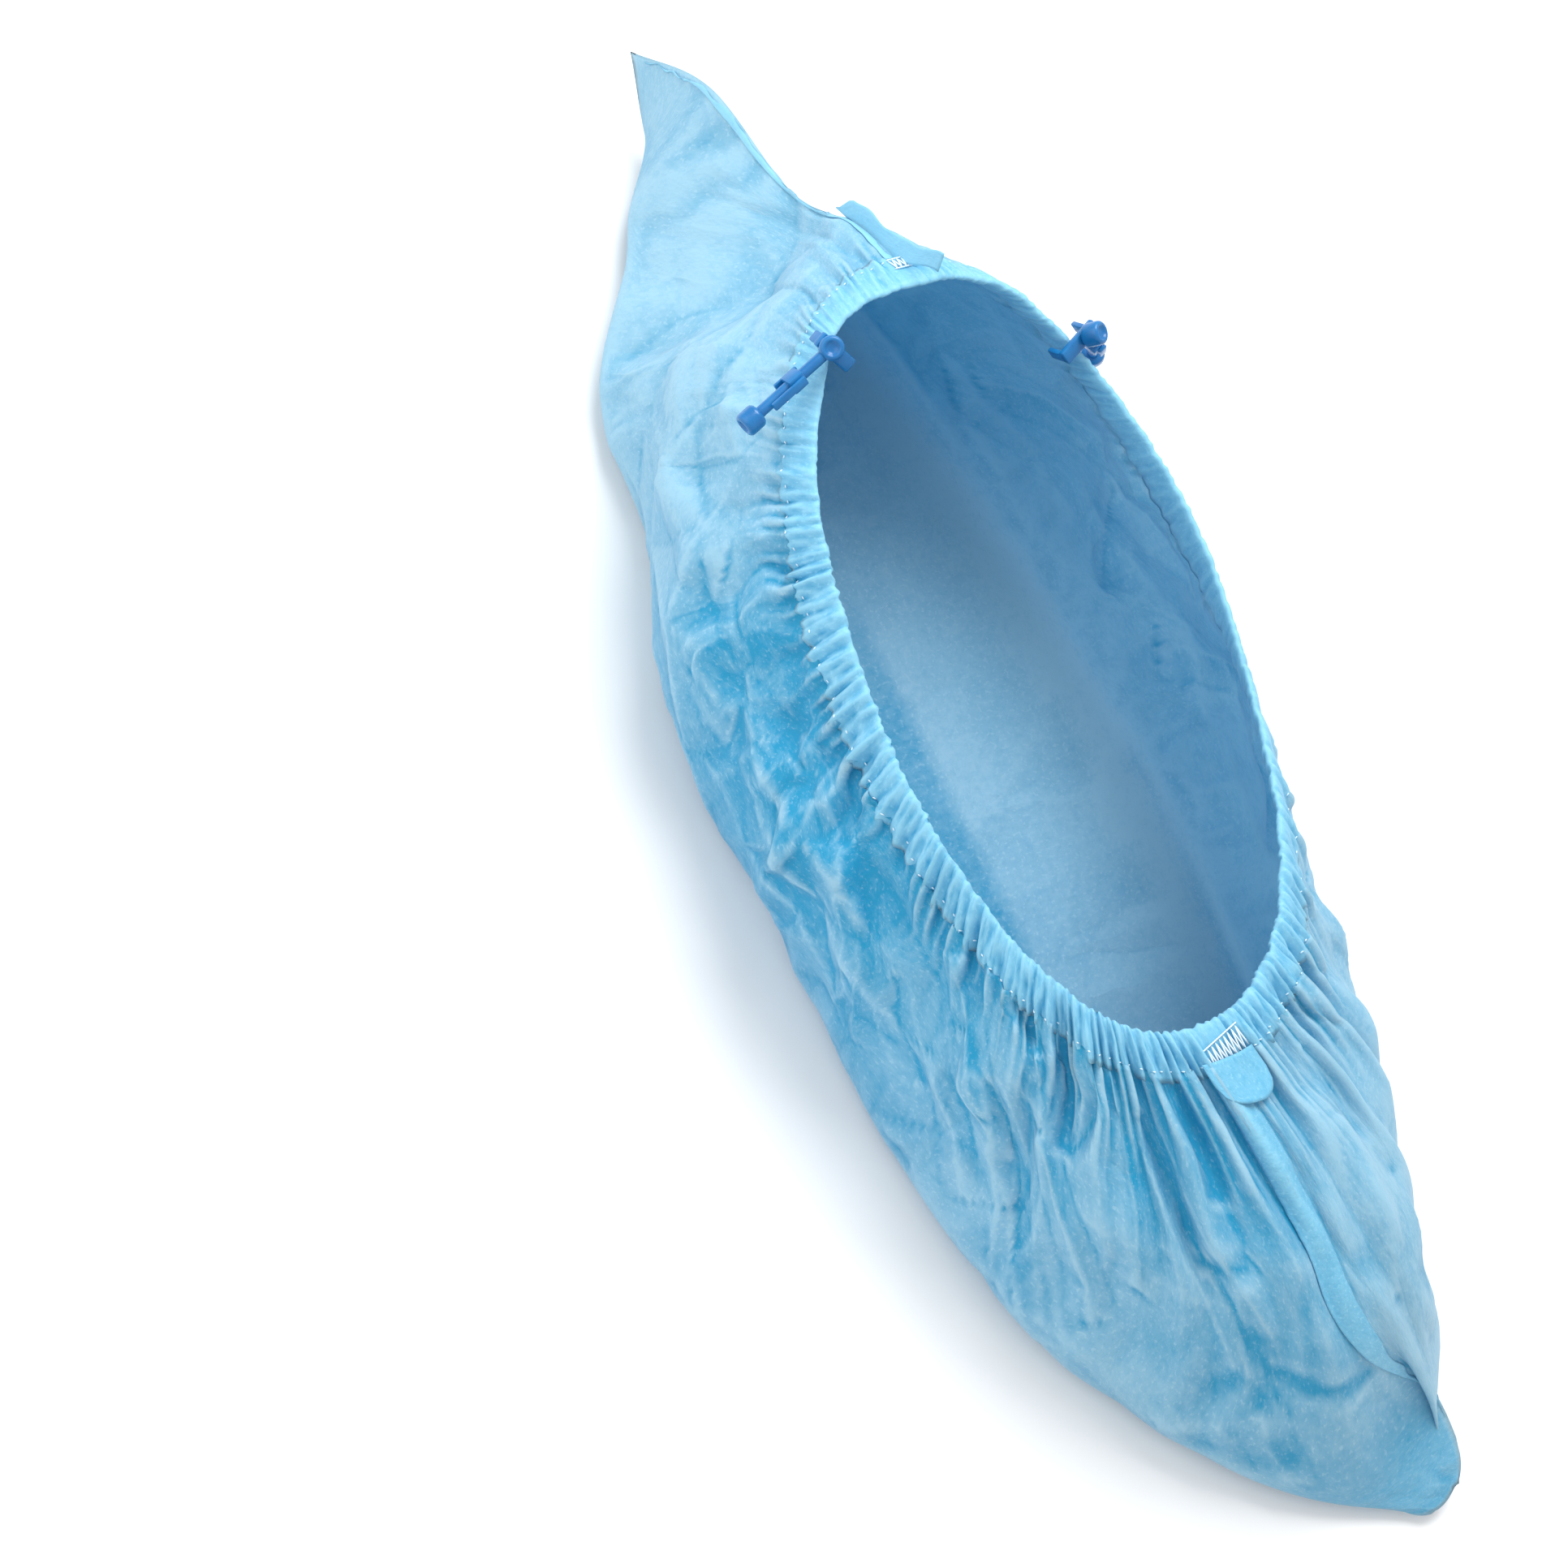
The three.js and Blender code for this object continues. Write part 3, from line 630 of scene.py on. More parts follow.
# %% Trace the creases
Crease = namedtuple("Crease", ("side", "flat", "height", "to_flat", "to_height", "width", "depth"))
CREASES = [Crease(*row) for row in (
    (NEAR, 116, 0.48, 142, 0.7, 10, 2.4),
    (NEAR, 102, 0.6, 76, 0.5, 8, 1.2),
    (NEAR, 102, 0.6, 90, 0.78, 8, -1.4),
    (NEAR, 112, 0.5, 112, 0.97, 8, 1.2),
    (NEAR, 150, 0.54, 150, 0.7, 7, 1),
    (NEAR, 164, 0.54, 180, 0.58, 8, 1.8),
    (NEAR, 164, 0.54, 160, 0.7, 8, 1.8),
    (NEAR, 160, 0.7, 168, 0.95, 8, 1.4),
    (NEAR, 176, 0.38, 188, 0.64, 7, -1.8),
    (NEAR, 192, 0.52, 198, 0.7, 8, 2.2),
    (NEAR, 198, 0.7, 190, 0.88, 7, 1.6),
    (NEAR, 200, 0.7, 214, 0.54, 7, 1.5),
    (NEAR, 202, 0.74, 218, 0.75, 6, 1.2),
    (NEAR, 218, 0.76, 214, 0.38, 9, 2.4),
    (NEAR, 180, 0.62, 190, 0.8, 6, -1.2),
    (NEAR, 220, 0.76, 242, 0.5, 9, 2),
    (NEAR, 220, 0.4, 230, 0.56, 6, -1.4),
    (NEAR, 244, 0.5, 244, 0.36, 6, 1.3),
    (NEAR, 268, 0.9, 292, 0.6, 9, 2.4),
    (NEAR, 234, 0.66, 258, 0.4, 8, 1.2),
    (NEAR, 254, 0.62, 272, 0.46, 6, -1.4),
    (NEAR, 270, 0.56, 300, 0.4, 7, 1.6),
    (NEAR, 276, 0.7, 308, 0.46, 8, 2.4),
    (NEAR, 308, 0.46, 332, 0.28, 7, 1.8),
    (NEAR, 298, 1, 307, 0.86, 6, -2.6),
    (NEAR, 302, 0.98, 312, 0.68, 5, 2),
    (NEAR, 312, 0.68, 338, 0.4, 6, 2.2),
    (NEAR, 292, 0.68, 324, 0.32, 6, -2.2),
    (NEAR, 318, 0.92, 320, 0.66, 4, -1.8),
    (NEAR, 334, 1, 324, 0.66, 4, -2.4),
    (NEAR, 342, 0.96, 344, 0.5, 6, 2.4),
    (NEAR, 352, 0.88, 362, 0.6, 5, -2.6),
    (NEAR, 362, 0.62, 372, 0.46, 5, -2),
    (NEAR, 372, 0.98, 372, 0.72, 5, -2),
    (NEAR, 372, 0.46, 396, 0.42, 3, -0.8),
    (NEAR, 372, 0.46, 362, 0.39, 3, -0.6),
    (NEAR, 362, 0.6, 375, 0.64, 4, -0.9),
    (NEAR, 358, 0.3, 377, 0.41, 5, 1),
    (NEAR, 374, 0.4, 379, 0.28, 4, 0.8),
    (FAR, 110, 0.45, 140, 0.75, 9, 1.8),
    (FAR, 150, 0.7, 170, 0.4, 8, -1.8),
    (FAR, 190, 0.45, 215, 0.72, 9, 2),
    (FAR, 230, 0.75, 250, 0.45, 8, -1.6),
    (FAR, 280, 0.8, 300, 0.5, 8, 2),
    (FAR, 320, 0.85, 335, 0.5, 7, -1.8),
    (FAR, 362, 0.92, 364, 0.7, 5, -1.6),
    (FAR, 362, 0.62, 374, 0.4, 8, 1.4),
    (FAR, 372, 0.78, 384, 0.52, 6, 1.6),
)]


def crease_line(crease):
    """Start of a crease on the flat blank and the run to its end."""
    start = Vector((crease.flat, from_fold(crease.height)))
    return start, Vector((crease.to_flat, from_fold(crease.to_height))) - start


CREASE_LINES = {side: [(c, *crease_line(c)) for c in CREASES if c.side == side] for side in (NEAR, FAR)}


CREASE_ENDS = 0.4


def creases_beside(flat, height, side):
    """Gives each crease beside a place, its strength there and the distance from it towards the toe."""
    here = Vector((flat, from_fold(height)))
    for crease, start, run in CREASE_LINES[side]:
        share = (here - start).dot(run) / run.length_squared
        if 0 < share < 1:
            away = (here - start).cross(run) / run.length
            yield crease, math.sin(math.pi * share) ** CREASE_ENDS, away if run.y > 0 else -away


def crease_rise(flat, height, side):
    return sum(
        crease.depth * strength * max(0, 1 - abs(away) / crease.width)
        for crease, strength, away in creases_beside(flat, height, side)
    )


print("creases:", len(CREASES))

# %% Push out gathers, pleats and creases
PLEAT_SHARPENING = 0.6


def fine_rise(*place):
    return fine_gathers(*place) + PLEAT_SHARPENING * wide_pleats(*place) + crease_rise(*place)


push_out(fine_mesh, fine_rise)
print("crease at the near wall:", round(crease_rise(195, 0.61, NEAR), 2), "mm")

# %% [markdown]
# ## Seams and ear
# Subdividing draws in the open edges of the sheet, so the seams and the fold go back to the form, and the
# two sides are welded there. At the toe a corner of the bag sticks out as a flat ear. Its two sides are so
# close that they could run through each other, so the far one is moved under the near one. The ear's square
# corner is then drawn in to the round lobe of the real cover.

# %% Close the seams and round the toe
EAR_MIDDLE = Vector((35.5, -143.5, 0))
EAR_PARTING = Vector((1.4, 0, -1.6))
PARTING_SEAM, PARTING_START, PARTING_FOOT, PARTING_TOP = 4, 8, 0.1, 0.3
WELD_GAP = 0.01


def soften(mesh, corners, passes):
    """Moves corners towards the middle of their neighbours, a few times over."""
    for _ in range(passes):
        bmesh.ops.smooth_vert(
            mesh, verts=corners, factor=0.5, use_axis_x=True, use_axis_y=True, use_axis_z=True,
        )


def part_ear(mesh):
    """Moves the far side of the ear under its near side, where the two lie close."""
    place = place_of(mesh)
    for corner in mesh.verts:
        flat, height, side = place(corner)
        if side == FAR and flat > EAR_START:
            off_seam = smooth_step(BLANK_LENGTH - flat, 0, PARTING_SEAM)
            beside = off_seam * smooth_step(flat, EAR_START, EAR_START + PARTING_START)
            low = smooth_step(height, 0, PARTING_FOOT)
            high = 1 - smooth_step(height, PARTING_TOP, EAR_HEIGHT)
            corner.co += EAR_PARTING * beside * low * high
            corner.co.z = max(corner.co.z, 0)


def round_ear(mesh):
    """Draws the square corner of the bag at the toe in to a round lobe."""
    middle = EAR_MIDDLE + TABLE_ORIGIN
    moved = []
    for corner in mesh.verts:
        away = corner.co - middle
        if away.x > 0 > away.y:
            side = max(away.x, -away.y) / math.hypot(away.x, away.y)
            corner.co.x = middle.x + away.x * side
            corner.co.y = middle.y + away.y * side
            moved.append(corner)
    soften(mesh, moved, 1)
    return len(moved)


def straighten_seams(mesh):
    """Puts the seams and the fold back where subdividing drew them in."""
    place = place_of(mesh)
    for corner in mesh.verts:
        flat, height, side = place(corner)
        if height == 0 or flat in (0, BLANK_LENGTH):
            corner.co = worn_point(flat, height, side)


straighten_seams(fine_mesh)
part_ear(fine_mesh)
bmesh.ops.remove_doubles(fine_mesh, verts=fine_mesh.verts, dist=WELD_GAP)
print("corners smoothed at the toe:", round_ear(fine_mesh))

# %% [markdown]
# ## How full the cloth looks, and painted shade
# One layer of the nonwoven is pale and lets light through, and two layers look a denser blue. Cloth that is
# gathered or doubled beside a crease shows more of it in each line of sight. A number at each corner keeps
# this, and it also holds painted shade and light: it is made darker in valleys as painted shade and paler
# on ridges as a painted highlight, darker on the lower near wall partly as painted shade, and each panel has
# a painted shading tone of its own, picked at random. The finish reads it as an attribute.

# %% Measure the fullness and the painted shade
VALLEY_PAINTED_SHADE = 2.6


def valley_depth(corner):
    """How far the neighbours of a corner stand above it, in millimetres."""
    mean = sum((edge.other_vert(corner).co for edge in corner.link_edges), Vector()) / len(corner.link_edges)
    return (mean - corner.co).dot(corner.normal)


def measure_fullness_and_shade(mesh, start):
    """Keeps at each corner start(corner), with painted shade in valleys and a painted highlight on ridges."""
    mesh.normal_update()
    fullness = mesh.verts.layers.float.new("fullness")
    for corner in mesh.verts:
        # Painted shade and light: valleys are made darker and ridges paler, as light would fall on them.
        corner[fullness] = min(max(start(corner) + VALLEY_PAINTED_SHADE * valley_depth(corner), 0), 1)
    values = [corner[fullness] for corner in mesh.verts]
    print("fullness is", round(sum(values) / len(values), 2), "on average")


# Fullness along each side of the blank. It is partly cloth drawn in to more layers and partly painted shade,
# which darkens the lower near wall.
DRAWN_IN_AND_SHADE = {
    NEAR: (
        (0, 0.28), (110, 0.16), (185, 0.74), (235, 0.74), (300, 0.38), (350, 0.46), (382, 0.62), (400, 0.42),
    ),
    FAR: ((0, 0.2), (200, 0.2), (340, 0.08), (380, 0.1), (400, 0.3)),
}
CREASE_SHADE, CREASE_SHADE_WIDTH, CREASE_SHADE_ENDS, LEVEL_CREASE = 0.3, 1.3, 3, 0.1
PANEL_PAINTED_SHADING = 0.12
GATHER_SHADE, GATHER_FADE = 0.4, 20
EAR_SHADE, EAR_SHADE_FULL, EAR_SHADE_TOP = 0.1, 396, (0.25, 0.4)


def crease_shade(flat, height, side):
    """The strip on the toe side of a crease where the cloth lies doubled."""
    return CREASE_SHADE * sum(
        strength ** CREASE_SHADE_ENDS * (1 - away / (CREASE_SHADE_WIDTH * crease.width))
        for crease, strength, away in creases_beside(flat, height, side)
        if 0 < away < CREASE_SHADE_WIDTH * crease.width
        and abs(crease.to_height - crease.height) > LEVEL_CREASE
    )


def cover_fullness_and_shade(corner):
    flat, height, side = fine_place(corner)
    # Partly drawn-in cloth and partly painted shade on the lower near wall.
    drawn_in_and_shade = at_marks(DRAWN_IN_AND_SHADE[side], flat)
    gathered = gather_strength(flat, side) * math.exp(-from_mouth(height) / GATHER_FADE)
    ear = smooth_step(flat, EAR_START, EAR_SHADE_FULL) * (1 - smooth_step(height, *EAR_SHADE_TOP))
    # Painted shading: each panel is made a little lighter or darker at random, as if light fell differently
    # on each facet.
    panel_shading = PANEL_PAINTED_SHADING * noise.cell(Vector((*panel_place(flat, height, side), 0)))
    shade = drawn_in_and_shade + GATHER_SHADE * gathered + EAR_SHADE * ear + panel_shading
    return shade + crease_shade(flat, height, side)


fine_place = place_of(fine_mesh)
measure_fullness_and_shade(fine_mesh, cover_fullness_and_shade)

# %% [markdown]
# ## Places on the cloth, and its thickness
# The pieces sewn onto the cover have to lie on the finished cloth, with its crumples. So the places of all
# its corners are kept in a search tree on the blank, before the mesh goes back into its object. The cloth
# is then a surface without thickness, and a Solidify modifier adds its inner face.

# %% Keep the cloth's places for the pieces sewn onto it
NEIGHBOURS, NEIGHBOUR_GAP = 4, 0.01
cloth_tree = KDTree(len(fine_mesh.verts))
cloth_spots = []
for index, corner in enumerate(fine_mesh.verts):
    flat, height, side = fine_place(corner)
    cloth_tree.insert((flat, side * from_fold(height), 0), index)
    cloth_spots.append((corner.co.copy(), corner.normal.copy()))
cloth_tree.balance()


def cloth_spot(flat, height, side, lift=0):
    """Point of the finished cloth in millimetres, lifted off it along its normal."""
    near = cloth_tree.find_n((flat, side * from_fold(height), 0), NEIGHBOURS)
    shares = [1 / (distance + NEIGHBOUR_GAP) for _, _, distance in near]
    spot = Vector()
    for (_, index, _), share in zip(near, shares):
        point, way = cloth_spots[index]
        spot += (point + way * lift) * (share / sum(shares))
    return spot


print("cloth beside the toe seam:", [round(v, 1) for v in cloth_spot(392, 0.7, NEAR)])

# %% Give the cloth its thickness
CLOTH_THICKNESS = 0.35


def thicken(piece, thickness):
    """Adds the inner face of a sheet. It grows away from the side that shows."""
    body = piece.modifiers.new("thickness", "SOLIDIFY")
    body.thickness = thickness * MM
    body.offset = -1


bmesh.ops.scale(fine_mesh, vec=(MM, MM, MM), verts=fine_mesh.verts)
fine_mesh.to_mesh(cover.data)
fine_mesh.free()
cover.data.shade_smooth()
thicken(cover, CLOTH_THICKNESS)
print("cover cloth:", len(cover.data.polygons), "faces on each side")

# %% [markdown]
# ## The hem
# The mouth's edge is turned over an elastic and stitched, which makes a flat casing. It is gathered with
# the cloth, so it is a strip that follows the same wave, closed to a tube and then to a ring. Its lower
# edge starts at the cloth, and its top is a round roll with a slight scallop from the gathers.

# %% Frame of the mouth's edge
HEM_HEIGHT, HEM_MIDDLE = 9, -0.7
SLOPE_STEP, SLOPE_FOOT, SEAM_TURN = 0.5, 0.98, 12


def edge_normal(flat, side):
    before = worn_point(max(flat - SLOPE_STEP, 0), 1, side)
    after = worn_point(min(flat + SLOPE_STEP, BLANK_LENGTH), 1, side)
    below = worn_point(flat, SLOPE_FOOT, side)
    return (after - before).cross(worn_point(flat, 1, side) - below).normalized() * -side


@lru_cache(maxsize=None)
def edge_frame(flat, side):
    """Middle of the hem's foot, with the ways up and out there."""
    up = (worn_point(flat, 1, side) - worn_point(flat, 1 - 1 / SPANS, side)).normalized()
    seam = 1 - seam_share(flat, SEAM_TURN)
    out = (edge_normal(flat, side) + edge_normal(flat, -side) * seam).normalized()
    return worn_point(flat, 1, side) + out * HEM_MIDDLE, up, out


@lru_cache(maxsize=None)
def edge_wave(flat, side):
    waves = fine_gathers(flat, 1, side) + wide_pleats(flat, 1, side) + long_folds(flat, 1, side)
    return waves * seam_share(flat)


print("way out at the near hem:", [round(v, 2) for v in edge_frame(WIDEST, NEAR)[2]])

# %% A patch of cloth
def add_patch(mesh, columns, rows, size, spot):
    """Adds a sheet and returns its faces. Spot gives a corner's place from two shares between 0 and 1."""
    made = bmesh.ops.create_grid(mesh, x_segments=columns, y_segments=rows, size=1)["verts"]
    shares = {corner: ((corner.co.x + 1) / 2, (corner.co.y + 1) / 2) for corner in made}
    faces = list(dict.fromkeys(face for corner in made for face in corner.link_faces))
    blank_map = mesh.loops.layers.uv.get("blank") or mesh.loops.layers.uv.new("blank")
    for face in faces:
        for loop in face.loops:
            x, y = shares[loop.vert]
            loop[blank_map].uv = x * size[0] * MM, y * size[1] * MM
    for corner, (x, y) in shares.items():
        corner.co = spot(x, y)
    return faces


def turn_out(mesh, faces, way):
    """Turns a patch round if it looks away from a way out."""
    mesh.normal_update()
    if sum(face.normal.dot(way) for face in faces) < 0:
        bmesh.ops.reverse_faces(mesh, faces=faces)


print("the hem laid flat is", 2 * BLANK_LENGTH, "mm long")

# %% Gather the hem
HEM_COLUMNS, HEM_CLOTH, HEM_FULLNESS, HEM_WELD_GAP = 1000, 21, 0.35, 0.0001
HEM_OUTLINE = (
    (0.45, -2.4), (0.8, -0.9), (0.95, 0.8), (1.05, 2.4), (1.1, 4.2), (1.1, 6), (1, 7.6), (0.75, 8.8),
    (0.3, 9.4), (-0.3, 9.4), (-0.75, 8.8), (-1, 7.6), (-1.1, 5.8), (-1.05, 3.6), (-0.85, 1.6), (-0.45, 0),
    (0.1, -1.2),
)
CRINKLE_PITCH, CRINKLE_HEIGHT, CRINKLE_DEPTH, CRINKLE_SEED = 2.1, 5, 0.85, 3
SCALLOP_DEPTH, TOP_WAVE = 0.55, 0.4


def hem_point(flat, side, offset, rise):
    middle, up, out = edge_frame(flat, side)
    strength = gather_strength(flat, side)
    above = smooth_step(rise, 0, HEM_HEIGHT)
    grain = Vector((flat / CRINKLE_PITCH, rise / CRINKLE_HEIGHT, side + math.copysign(CRINKLE_SEED, offset)))
    crinkle = CRINKLE_DEPTH * noise.noise(grain) * strength * seam_share(flat)
    scallop = SCALLOP_DEPTH * pleat_wave(flat, side, FINE_PITCH, FINE_SEED) * strength * above
    shift = edge_wave(flat, side) * blend(1, TOP_WAVE, above)
    return middle + up * (rise + scallop) + out * (shift + offset + crinkle * math.copysign(1, offset))


def ring_place(column):
    """Walks along the near side from heel to toe, and back along the far side."""
    walked = 2 * BLANK_LENGTH * column / HEM_COLUMNS
    return (walked, NEAR) if walked <= BLANK_LENGTH else (2 * BLANK_LENGTH - walked, FAR)


def hem_spot(x, y):
    """Place on the ring, where the last column and the last row come back to the first."""
    column = round(x * HEM_COLUMNS) % HEM_COLUMNS
    row = round(y * len(HEM_OUTLINE)) % len(HEM_OUTLINE)
    return hem_point(*ring_place(column), *HEM_OUTLINE[row])


def sew_hem():
    mesh = bmesh.new()
    add_patch(mesh, HEM_COLUMNS, len(HEM_OUTLINE), (2 * BLANK_LENGTH, HEM_CLOTH), hem_spot)
    bmesh.ops.remove_doubles(mesh, verts=mesh.verts, dist=HEM_WELD_GAP)
    bmesh.ops.recalc_face_normals(mesh, faces=mesh.faces)
    return mesh


hem_mesh = sew_hem()
measure_fullness_and_shade(hem_mesh, lambda corner: HEM_FULLNESS)
hem = new_object("hem", hem_mesh)
print("hem:", len(hem.data.polygons), "faces")

# %% [markdown]
# ## Hem stitches
# A line of small stitches closes the casing. A stitch is a short bit of thread that dips into the cloth at
# both ends, so a small round body drawn out along the hem is enough at this size.

# %% Sew the hem stitches
STITCH_SPACING, STITCH_LENGTH, STITCH_RADIUS = 5.2, 0.8, 0.17
STITCH_OUT, STITCH_RISE, STITCH_FACES = 1.05, 0.3, 20


def axes_matrix(along, normal, place):
    """Matrix with x along a line and z along a normal, moved to a place."""
    x_way = along.normalized()
    z_way = (normal - x_way * normal.dot(x_way)).normalized()
    turn = Matrix((x_way, z_way.cross(x_way), z_way)).transposed()
    return Matrix.LocRotScale(place, turn, None)


def add_stitch(mesh, start, end, normal, radius):
    made = bmesh.ops.create_icosphere(mesh, subdivisions=1, radius=1)
    long = (end - start).length / 2 + radius
    bmesh.ops.scale(mesh, vec=(long, radius, radius), verts=made["verts"])
    bmesh.ops.transform(mesh, matrix=axes_matrix(end - start, normal, (start + end) / 2), verts=made["verts"])


def sew_stitches():
    mesh = bmesh.new()
    count = int(BLANK_LENGTH / STITCH_SPACING)
    for side in (NEAR, FAR):
        for step in range(1, count):
            flat = step * BLANK_LENGTH / count
            normal = edge_frame(flat, side)[2]
            ends = [
                hem_point(flat + half * STITCH_LENGTH, side, STITCH_OUT, STITCH_RISE)
                for half in (-0.5, 0.5)
            ]
            add_stitch(mesh, *ends, normal, STITCH_RADIUS)
    return mesh


stitches = new_object("hem_stitches", sew_stitches())
print("stitches:", len(stitches.data.polygons) // STITCH_FACES)

# %% [markdown]
# ## Seams at the toe and the heel
# At both ends the two sides are sewn together, and the allowance lies to one side as a doubled band. It
# follows the cloth, so each of its points is a point of the finished cloth, lifted a little. The band
# ripples where the gathers push it.

# %% Lay the seam bands
BAND_THICKNESS, BAND_COLUMNS, BAND_ROWS, BAND_SOFTENING = 0.18, 10, 110, 3
BAND_LIFT, BAND_CROWN, BAND_RIPPLE, BAND_INSET = 0.25, 0.15, 0.15, 0.2
BAND_TAPER, BAND_OUT = (-0.02, 0.45), Vector((-1, 0, 0.5))
RIPPLE_PITCH = 8
Band = namedtuple("Band", ("name", "seam", "width", "low", "high", "fullness"))
BANDS = (
    Band("toe_seam_band", BLANK_LENGTH, 10.5, 0.3, 0.995, 0.4),
    Band("heel_seam_band", 0, 3, 0.05, 0.995, 0),
)


def ripple(x, y, seed):
    return noise.noise(Vector((x / RIPPLE_PITCH, y / RIPPLE_PITCH, seed)))


def lay_band(mesh, band):
    def spot(x, y):
        height = blend(band.low, band.high, y)
        width = band.width * smooth_step(y, *BAND_TAPER)
        crown = BAND_CROWN * math.sin(math.pi * x)
        wave = BAND_RIPPLE * ripple(x * width, from_fold(height), band.seam) * x
        flat = abs(band.seam - BAND_INSET - x * width)
        return cloth_spot(flat, height, NEAR, BAND_LIFT + crown + wave)

    faces = add_patch(mesh, BAND_COLUMNS, BAND_ROWS, (band.width, FLAT_DISTANCE[-1]), spot)
    turn_out(mesh, faces, BAND_OUT)
    soften(mesh, mesh.verts, BAND_SOFTENING)


band_meshes = [bmesh.new() for band in BANDS]
for mesh, band in zip(band_meshes, BANDS):
    lay_band(mesh, band)
    print(band.name, "faces:", len(mesh.faces))

# %% [markdown]
# The hem's two ends show as well. At the toe the end hangs below the stitching as a small rounded flap, and
# at the heel it stands up behind the mouth as a narrow tab. Both are patches of the same doubled cloth.

# %% Add the hem's loose ends
FLAP_WIDTH, FLAP_LENGTH, FLAP_MIDDLE, FLAP_SIDES = 26, 12, 0.45, 0.45
FLAP_OVERLAP, FLAP_STAND, FLAP_TILT, FLAP_RIPPLE, FLAP_SEED = 1, 1.5, 0.06, 0.4, 5
FLAP_GRID, FLAP_OUT, VAMP_LENGTH = (18, 14), Vector((0, -0.5, 1)), 115
TAB_LENGTH, TAB_WIDTH, TAB_START, TAB_LEAN = 37, 9, 24, 0.25
TAB_RIPPLE, TAB_RIPPLE_RISE, TAB_SEED = 0.9, 4, 8
TAB_GRID, TAB_OUT = (30, 8), Vector((-1, 0, 0))
TAB_TOP = ((0, 0.3), (5, 4.6), (11, 5.4), (17, 4.4), (27, 6), (37, 9.3))
TAB_FOOT = ((0, 0), (22, 0), (37, 5))


def toe_flap(x, y):
    across = (x - FLAP_MIDDLE) * FLAP_WIDTH
    round_end = math.sqrt(max(0, 1 - (2 * x - 1) ** 2))
    drop = y * FLAP_LENGTH * blend(FLAP_SIDES, 1, round_end) - FLAP_OVERLAP
    height = 1 - max(drop, 0) / VAMP_LENGTH
    spot = worn_point(BLANK_LENGTH - abs(across), height, NEAR if across < 0 else FAR)
    _, up, out = edge_frame(BLANK_LENGTH, NEAR)
    stand = FLAP_STAND + FLAP_TILT * drop + FLAP_RIPPLE * ripple(across, drop, FLAP_SEED)
    return spot + out * stand + up * max(-drop, 0)


def heel_tab(x, y):
    middle, up, out = edge_frame(0, NEAR)
    rise = (out - up * out.dot(up)).normalized() + Vector((TAB_LEAN, 0, 0))
    walked = x * TAB_LENGTH
    bend = Vector((TAB_RIPPLE * ripple(walked, TAB_RIPPLE_RISE * y, TAB_SEED) * y, 0, 0))
    stand = blend(at_marks(TAB_FOOT, walked), at_marks(TAB_TOP, walked), y)
    return middle + up * (walked - TAB_START) + rise * stand + bend


toe_band, heel_band = band_meshes
flap = add_patch(toe_band, *FLAP_GRID, (FLAP_WIDTH, FLAP_LENGTH), toe_flap)
turn_out(toe_band, flap, FLAP_OUT)
tab = add_patch(heel_band, *TAB_GRID, (TAB_LENGTH, TAB_WIDTH), heel_tab)
turn_out(heel_band, tab, TAB_OUT)
bands = []
for mesh, band in zip(band_meshes, BANDS):
    measure_fullness_and_shade(mesh, lambda corner: band.fullness)
    bands.append(new_object(band.name, mesh))
    thicken(bands[-1], BAND_THICKNESS)
print("bands with their ends:", [len(strip.data.polygons) for strip in bands])

# %% [markdown]
# ## Bar tacks
# Where the hem's two ends meet over a seam, a short block of zigzag stitches locks them. Each stitch is the
# same round body as before, laid between two rows, with a line of stitches along each row.

# %% Sew the bar tacks
Tack = namedtuple("Tack", ("seam", "half_width", "low", "high", "stitches"))
TACKS = (Tack(BLANK_LENGTH, 5.5, -1, 5.5, 18), Tack(0, 3, 0.5, 4, 10))
TACK_RADIUS, TACK_OUT = 0.2, 1.6


def sew_tack(mesh, tack):
    middle, up, out = edge_frame(tack.seam, NEAR)
    along = up.cross(out).normalized()

    def spot(step, rise):
        across = blend(-tack.half_width, tack.half_width, step / tack.stitches)
        return middle + along * across + up * rise + out * TACK_OUT

    rows = [[spot(step, rise) for step in range(tack.stitches + 1)] for rise in (tack.low, tack.high)]
    for row in rows:
        for start, end in zip(row, row[1:]):
            add_stitch(mesh, start, end, out, TACK_RADIUS)
    for step in range(tack.stitches):
        add_stitch(mesh, rows[step % 2][step], rows[1 - step % 2][step + 1], out, TACK_RADIUS)


tack_mesh = bmesh.new()
for tack in TACKS:
    sew_tack(tack_mesh, tack)
tacks = new_object("bar_tacks", tack_mesh)
print("bar tack faces:", len(tacks.data.polygons))

# %% [markdown]
# ## Hanging clips
# Each clip is one moulded piece of plastic: a thin bar with a knob at both ends and a collar in its middle,
# a thin spring tab on either side of the bar, and under the upper knob a block with two fingers that
# straddle the hem. The knobs are turned from a profile with spin, and boxes with rounded edges make the
# rest.

# %% Parts of a clip
BAR_RADIUS, BAR_SEGMENTS, KNOB_DISTANCE, KNOB_STEPS = 1.25, 24, 23, 28
KNOB_PROFILE = (
    (0, -2.3), (1.7, -2.3), (2.25, -2.1), (2.6, -1.7), (2.7, -1.2), (2.7, 1.2), (2.6, 1.75), (2.3, 2.1),
    (1.85, 2.2), (1.55, 2.05), (1.3, 1.7), (0.7, 1.5), (0, 1.45),
)


